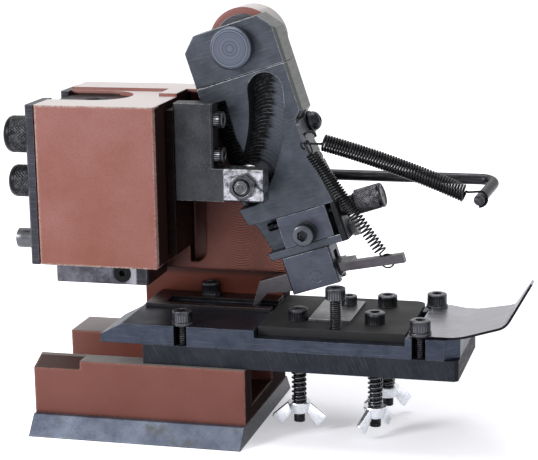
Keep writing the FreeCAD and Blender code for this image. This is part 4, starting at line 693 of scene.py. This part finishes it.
# Feed pawl. Tool steel, surface-ground along its length; the nose shows the wheel's lines and the
# tail has gone brownish in the oil, with a bare end.
dress(machined_steel("ground_pawl_steel", "#454247", "#514d52", "#86858a", 0.42, (8, 8, 0.35), turn=-arm_tilt,
                     contrast=0.4, patch=6.0), "feed_pawl")


# Spring hanger and the spring rod. Bent strip and drawn rod, both blackened; a button screw
# holds the hanger to the arm's bare edge.
dress(machined_steel("black_oxide_hanger", "#44464c", "#54565c", "#8f9094", 0.4, (4, 4, 4)), "spring_hanger")
button = turned([(0.0, 4.4), (0.2, 4.8), (1.2, 4.8), (1.4, 4.6), (1.5, 4.2), (2.6, 4.1), (3.6, 3.6), (4.4, 2.8),
                 (4.9, 1.8)], 48, key=2.5, socket=1.6)
anchor_bm = bmesh.new()
anchor_place = stand(on_arm(18.5, 9.6, -40.4), arm_across)
add_shape(anchor_bm, button, anchor_place)
add_shape(anchor_bm, plain_rod(2.0, -10.5, 0.2), anchor_place)
anchor_piece = new_piece("button_anchor_screw", anchor_bm, machined_steel(
    "black_button_screw", "#1b1c1f", "#26272b", "#6f7074", 0.25, (2, 2, 2), edge="#7d7e82", reach=0.5))
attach(anchor_piece, "feed_arm")
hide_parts("anchor_screw")
dress(machined_steel("drawn_black_rod", "#222225", "#2e2e31", "#8f8f93", 0.36, (12, 0.6, 0.6), patch=5.0),
      "spring_rod")


# Springs. Cold-wound music wire, blackened: the arm's return spring is wound close over its whole
# length and has drawn-out hooks; the pawl's opens towards its lower end, a loop through the tail.
def spring_black(name, wire):
    """Black spring wire: satin, with fine drawing marks as wide as the wire's own rubbed top."""
    finish, add, place = new_finish(name)
    rub = add("TexNoise", place, 1 / (2.2 * wire * mm), 4.0)
    fade = add("MapRange", rub, 0.4, 0.7)
    shade = add("Mix RGBA", fade, "#0e0e10", "#202023")
    rough = add("MapRange", rub, 0.3, 0.7, 0.28, 0.45)
    normal = add("Bump", Strength=0.2, Distance=0.02 * mm, Height=rub)
    return close_finish(finish, shade, rough, normal, 0.8)


def wire_ring(bm, radius, wire):
    """The wire's end, square to its run, at the start of a coil."""
    made = bmesh.ops.create_circle(bm, segments=8, radius=wire / 2)["verts"]
    bmesh.ops.rotate(bm, verts=made, cent=(0, 0, 0), matrix=Matrix.Rotation(math.pi / 2, 3, "X"))
    bmesh.ops.translate(bm, verts=made, vec=(radius, 0, 0))
    return made + list(dict.fromkeys(e for v in made for e in v.link_edges))


def wind(bm, end, turns, pitch, axis=(0, 0, 1), centre=(0, 0, 0), drift=(0, 0, 0), steps=20):
    """Bend the wire on from its end: turns about an axis, rising by a pitch each turn; gives the new end."""
    count = max(2, round(abs(turns) * steps))
    rise = Vector(axis) * pitch * turns / count + Vector(drift) / count
    return bmesh.ops.spin(bm, geom=end, cent=centre, axis=axis, dvec=rise, angle=2 * math.pi * turns,
                          steps=count)["geom_last"]


def straight(bm, end, run):
    """Draw the wire straight on from its end."""
    edges = [g for g in end if isinstance(g, bmesh.types.BMEdge)]
    grown = bmesh.ops.extrude_edge_only(bm, edges=edges)["geom"]
    fresh = [g for g in grown if isinstance(g, bmesh.types.BMVert)]
    bmesh.ops.translate(bm, verts=fresh, vec=run)
    return fresh + [g for g in grown if isinstance(g, bmesh.types.BMEdge) and set(g.verts) <= set(fresh)]


def hook(bm, end, radius, height, reach, bow, share=0.66):
    """A drawn-out hook beyond a coil's end at a height: bent to the axis and straight, then a share of a turn."""
    bend = 1.0
    end = wind(bm, end, 0.25, 0, axis=(1, 0, 0), centre=(0, 0, height + bend), drift=(-radius, 0, 0), steps=32)
    end = straight(bm, end, (0, bow - bend, reach - bend - bow))
    wind(bm, end, share, 0, axis=(1, 0, 0), centre=(0, 0, height + reach - bow), steps=32)


def extension_spring(radius, wire, zones, low_hook, high_hook):
    """A hooked spring along Z: zones are turns and pitch, and the hooks give reach, bow and share of a turn."""
    bm = bmesh.new()
    end = wire_ring(bm, radius, wire)
    height = 0.0
    for turns, pitch in zones:
        end = wind(bm, end, turns, pitch)
        height += turns * pitch
    hook(bm, end, radius, height, *high_hook)
    other = bmesh.new()
    hook(other, wire_ring(other, radius, wire), radius, 0.0, *low_hook)
    add_shape(bm, other, Matrix.Rotation(math.pi, 4, "X"), unit=1.0)
    bmesh.ops.remove_doubles(bm, verts=bm.verts, dist=0.01)
    bmesh.ops.holes_fill(bm, edges=[e for e in bm.edges if e.is_boundary])
    return bm


def spring_between(name, low, high, radius, wire, zones, low_hook, high_hook, spin, rise=0.0):
    """Place a hooked spring between two eyes, in mm, scaled to the gap along its own axis and bowed up by a rise."""
    run = high - low
    body = run.length - low_hook[0] - high_hook[0]
    stretch = body / sum(turns * pitch for turns, pitch in zones)
    zones = [(turns, pitch * stretch) for turns, pitch in zones]
    bm = bmesh.new()
    start = low + run.normalized() * low_hook[0]
    coil = extension_spring(radius, wire, zones, low_hook, high_hook)
    for vert in coil.verts:
        along = max(0.0, min(1.0, vert.co.z / body))
        vert.co += Vector((math.cos(spin), -math.sin(spin), 0.0)) * rise * 4 * along * (1 - along)
    add_shape(bm, coil, stand(start, run, spin))
    return new_piece(name, bm, spring_black(name + "_wire", wire))


hanger_eye = on_arm(18.0, -4.55, -45.0)
rod_hook = Vector((140.4, -4.55, 102.2))
tail_eye = on_arm(35.7, -4.55, -104.6)
arm_spring_run = (rod_hook - hanger_eye).normalized()
arm_spring_piece = spring_between(
    "arm_return_spring", rod_hook + arm_spring_run * 2.85, hanger_eye + Vector((0, -0.3, 1.1)), radius=3.2, wire=1.05,
    zones=[(53, 1.25)], low_hook=(9.6, 3.3, 0.45), high_hook=(8.6, 2.6), spin=math.radians(90), rise=1.2)
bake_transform(arm_spring_piece, "base", "feed_arm", start=rod_hook * mm, end=hanger_eye * mm)
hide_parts("arm_spring")
pawl_spring_run = (tail_eye - hanger_eye).normalized()
pawl_spring_piece = spring_between(
    "pawl_return_spring", tail_eye + pawl_spring_run * 2.9, hanger_eye + Vector((-0.8, 0.4, -1.4)), radius=2.4,
    wire=0.75, zones=[(11, 1.6), (27, 1.15)], low_hook=(7.5, 2.9, 0.85), high_hook=(6.4, 1.9), spin=math.radians(270))
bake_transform(pawl_spring_piece, "pawl", "feed_slide", start=tail_eye * mm, end=hanger_eye * mm)
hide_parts("pawl_spring")


# Strip table. A thick milled plate with two guide bars on it, blued grey; the plate's front edge
# keeps slanting cutter lines. The strip runs in the channel between the bars, under a cover.
# painted shade: the plate's faces that look right are darkened
dress(machined_steel("milled_table_plate", "#1e2127", "#292c33", "#5c5f69", 0.6, (0.55, 8, 9), turn=math.radians(-24),
                     contrast=0.4, bite=0.03, sides=[((1.0, 0.0, 0.0), 0.55, 0.8, "#0f1013")]), "table_plate")
dress(machined_steel("blued_guide_bar", "#2a2f3a", "#373d49", "#6c717c", 0.4, (12, 12, 0.7), contrast=0.25),
      "front_guide", "rear_guide", "strip_floor")
dress(machined_steel("dark_cover_plate", "#1e1b1d", "#292527", "#5b585a", 0.36, (14, 0.8, 14), contrast=0.2,
                     metallic=0.5), "strip_cover")
dress(machined_steel("black_washer", "#3a3b3f", "#4b4c50", "#85868a", 0.35, (3, 3, 3)), "guide_washers")
table_screw = machined_steel("rubbed_black_screw", "#2b2c30", "#3e3f44", "#8f9095", 0.34, (2, 2, 2), patch=2.5,
                             wear=0.9, contrast=0.2, knurl="#5f6065")
guide_top = 49.0
m5 = (4.25, 5.0, 2.5)
guide_screws = ((18.4, -27.5, 1.2, 28.2), (119.6, -27.5, 2.2, 18.9), (18.4, 15.85, 2.8, 29.8),
                (119.6, 15.85, 2.2, 18.9))  # x, y, seat above the guides, thread length
guide_screw_piece = cap_screws("guide_socket_screws", table_screw,
                               [((x, y, guide_top + seat), (0, 0, 1)) for x, y, seat, _ in guide_screws],
                               *m5, [length for *_, length in guide_screws])
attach(guide_screw_piece, "base")
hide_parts("guide_screws")


# Drag plate. A loose plate over the strip, pulled down by three long screws with springs and wing
# nuts below; a finger of bare strip and a tall screw stand on it.
dress(machined_steel("oiled_drag_plate", "#0a0a0c", "#111113", "#47474b", 0.68, (12, 12, 1.2), patch=7.0,
                     contrast=0.25, metallic=0.2), "drag_plate")
dress(machined_steel("bare_finger_strip", "#6a6a6e", "#858589", "#b5b5b8", 0.38, (0.6, 10, 6), metallic=1.0,
                     contrast=0.3), "finger_plate")
drag_places = [(65.0, -13.0), (98.0, -13.0), (98.0, 15.85)]
drag_top = 49.5
finger_seat, tall_seat = 1.2, 12.5
drag_screw_piece = cap_screws("drag_socket_screws", table_screw,
                              [((x, y, drag_top), (0, 0, 1)) for x, y in drag_places], *m5, (45.0,) * 3)
finger_screw_piece = cap_screws("finger_socket_screw", table_screw,
                                [((82.0, 11.0, drag_top + finger_seat), (0, 0, 1))], *m4, (4.7,), pitch=0.7)
tall_screw_piece = cap_screws("tall_socket_screw", table_screw,
                              [((83.5, -23.5, drag_top + tall_seat), (0, 0, 1))], *m5, (16.0,), pitch=0.9)
for made, node in ((drag_screw_piece, "drag_screws"), (finger_screw_piece, "finger_screw"),
                   (tall_screw_piece, "tall_screw")):
    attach(made, "drag")
    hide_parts(node)

nut_top, table_under = 13.5, 32.0
coil_radius, coil_wire = 2.85, 0.85
coil_zones = ((1.25, 0.85), (7.5, 2.07), (1.25, 0.85))  # turns and pitch: closed ends, open middle
drag_wire = machined_steel("bright_spring_wire", "#4b4c50", "#6a6b70", "#a9aaae", 0.26, (1, 1, 1), patch=2.0)
for number, (x, y) in enumerate(drag_places):
    coil = bmesh.new()
    end = wire_ring(coil, coil_radius, coil_wire)
    for turns, pitch in coil_zones:
        end = wind(coil, end, turns, pitch)
    bmesh.ops.holes_fill(coil, edges=[e for e in coil.edges if e.is_boundary])
    spring_bm = bmesh.new()
    add_shape(spring_bm, coil, stand((x, y, nut_top + 0.5), (0, 0, 1), math.radians(70 * number)))
    spring_piece = new_piece("drag_spring_coil_%d" % (number + 1), spring_bm, drag_wire)
    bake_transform(spring_piece, "drag", "base", start=(x * mm, y * mm, (nut_top + 2) * mm),
             end=(x * mm, y * mm, (table_under - 2) * mm))
    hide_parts("drag_spring_%d" % (number + 1))


# Wing nuts. Cast and bright zinc-plated: a tapered hub and two flat paddles that hang down and out.
def bright_zinc(name):
    """Zinc plate: bright, bluish white, with a soft crystalline bloom a millimetre wide."""
    finish, add, place = new_finish(name)
    bloom = add("TexNoise", place, 1 / (1.3 * mm), 4.0)
    fade = add("MapRange", bloom, 0.38, 0.66)
    shade = add("Mix RGBA", fade, "#e4e7ed", "#f8fafd")
    rough = add("MapRange", bloom, 0.3, 0.7, 0.2, 0.34)
    normal = add("Bump", Strength=0.25, Distance=0.04 * mm, Height=bloom)
    return close_finish(finish, shade, rough, normal, 0.9)


zinc = bright_zinc("bright_zinc_plate")
wing_turns = (8, 62, 40)
wing_thick, wing_round = 1.9, 0.45
wing_outline = [(3.3, -0.3), (4.9, -0.5), (11.4, -6.0), (11.7, -6.9), (8.2, -10.7), (7.3, -10.6), (3.3, -5.4)]
for number, ((x, y), angle) in enumerate(zip(drag_places, wing_turns)):
    hub = turned([(0.0, 4.9), (-0.4, 5.1), (-1.4, 4.85), (-4.2, 4.0), (-5.0, 3.4), (-5.0, 2.62), (0.0, 2.62)], 36)
    bmesh.ops.delete(hub, geom=[f for f in hub.faces if len(f.verts) > 4], context="FACES_ONLY")
    rims = [e for e in hub.edges if e.is_boundary]
    bmesh.ops.bridge_loops(hub, edges=rims)
    nut_bm = bmesh.new()
    place = stand((x, y, nut_top), (0, 0, 1), math.radians(angle))
    add_shape(nut_bm, hub, place)
    for side in (-1, 1):
        paddle = bmesh.new()
        rim = [paddle.verts.new((side * u, -wing_thick / 2, w)) for u, w in wing_outline]
        sheet = paddle.faces.new(rim)
        grown = bmesh.ops.extrude_face_region(paddle, geom=[sheet])["geom"]
        fresh = [g for g in grown if isinstance(g, bmesh.types.BMVert)]
        bmesh.ops.translate(paddle, verts=fresh, vec=(0, wing_thick, 0))
        bmesh.ops.recalc_face_normals(paddle, faces=paddle.faces)
        bmesh.ops.bevel(paddle, geom=paddle.edges, offset=wing_round, segments=3, profile=0.5, affect="EDGES",
                        material=-1)
        add_shape(nut_bm, paddle, place)
    nut_piece = new_piece("zinc_wing_nut_%d" % (number + 1), nut_bm, zinc)
    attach(nut_piece, "wing_nut_%d" % (number + 1))
    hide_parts("wing_nut_%d" % (number + 1))


# Lead-in lip. Cold-rolled sheet, bare and satin, curled up at its end; rolling lines run along it.
# painted shade: faces that look left, past the fold, are darker; the front edges are drawn dark
dress(machined_steel("bare_rolled_sheet", "#98989d", "#acacb1", "#c4c4c8", 0.34, (16, 0.8, 16), metallic=1.0,
                     patch=24.0, contrast=0.25, wear=0.4, sides=[
                         ((-1.0, 0.0, 0.0), 0.1, 0.25, "#9d9da2"), ((-1.0, 0.0, 0.0), 0.5, 0.85, "#4c4c51"),
                         ((0.0, -1.0, 0.0), 0.55, 0.8, "#1b1b1f")]), "lead_in_lip")


# Studio. A pale floor that keeps the shadow, greyer round the tool as painted shade and white further
# off, a white surround, a key from the left and a little above, a top light and a weak fill from the right.
def is_seen(add):
    """1 for rays that show the studio, straight, in a gloss or through glass, and 0 for those that light the tool."""
    rays = add("LightPath", get=None)
    seen = add("Math MAXIMUM", rays["Is Camera Ray"], rays["Is Glossy Ray"])
    return add("Math MAXIMUM", seen, rays["Is Transmission Ray"])


floor_bm = bmesh.new()
bmesh.ops.create_grid(floor_bm, x_segments=1, y_segments=1, size=6.0)
floor_mesh = bpy.data.meshes.new("studio_floor")
floor_bm.to_mesh(floor_mesh)
floor_bm.free()
floor = bpy.data.objects.new("studio_floor", floor_mesh)
bpy.context.scene.collection.objects.link(floor)
paper, add, flat = new_finish("pale_paper")
# painted shade: the floor's glow is weaker round a point under the tool, so it is greyer there
spread = add("VectorMath DISTANCE", flat, (0.09, 0.06, 0.0))
lift = add("MapRange", spread, 0.06, 0.22, 0.42, 1.0, interpolation_type="SMOOTHSTEP")
seen = is_seen(add)
matt = add("BsdfDiffuse", Color="#eeeef2")
glow = add("Emission", Color="#fafaff", Strength=add("Math MULTIPLY", seen, lift))
add("OutputMaterial", Surface=add("AddShader", matt, glow))
floor_mesh.materials.append(paper)

world = bpy.data.worlds.new("white_studio")
bpy.context.scene.world = world
world.use_nodes = True
world.node_tree.nodes.clear()
add = partial(put, world)
level = add("MapRange", is_seen(add), 0.0, 1.0, 0.3, 1.0)
sky = add("Background", Color="#ffffff", Strength=level)
add("OutputWorld", Surface=sky)

target = Vector((0.04, 0.0, 0.08))
for name, power, size, spot in (("key", 7.4, 0.28, (-0.62, -0.68, 0.46)), ("top", 3.6, 0.5, (0.0, 0.15, 0.8)),
                                ("fill", 0.5, 0.5, (0.75, -0.6, 0.3))):
    lamp = bpy.data.lights.new(name + "_light", "AREA")
    lamp.energy = power
    lamp.size = size
    lit = bpy.data.objects.new(name + "_light", lamp)
    bpy.context.scene.collection.objects.link(lit)
    lit.location = spot
    lit.rotation_euler = (target - Vector(spot)).to_track_quat("-Z", "Y").to_euler()


# Camera at the photograph's place: a long lens in front, to the right of the tool and a little above.
yaw, pitch, roll = -0.25696, -0.21902, -0.01734
focal, picture_width = 1720.4, 538  # pixels
camera_place = Vector((232.11, -695.06, 244.70))
ahead = Vector((math.sin(yaw) * math.cos(pitch), math.cos(yaw) * math.cos(pitch), math.sin(pitch)))
right = ahead.cross(Vector((0, 0, 1))).normalized()
upward = right.cross(ahead)
right, upward = (right * math.cos(roll) + upward * math.sin(roll), upward * math.cos(roll) - right * math.sin(roll))
eye = bpy.data.cameras.new("photo_camera")
eye.sensor_fit = "HORIZONTAL"
eye.sensor_width = 36.0
eye.lens = eye.sensor_width * focal / picture_width
eye.clip_end = 20.0
camera = bpy.data.objects.new("photo_camera", eye)
bpy.context.scene.collection.objects.link(camera)
camera.matrix_world = Matrix.Translation(camera_place * mm) @ Matrix(
    (right, upward, -ahead)).transposed().to_4x4()
bpy.context.scene.camera = camera
bpy.context.scene.view_settings.view_transform = "Standard"
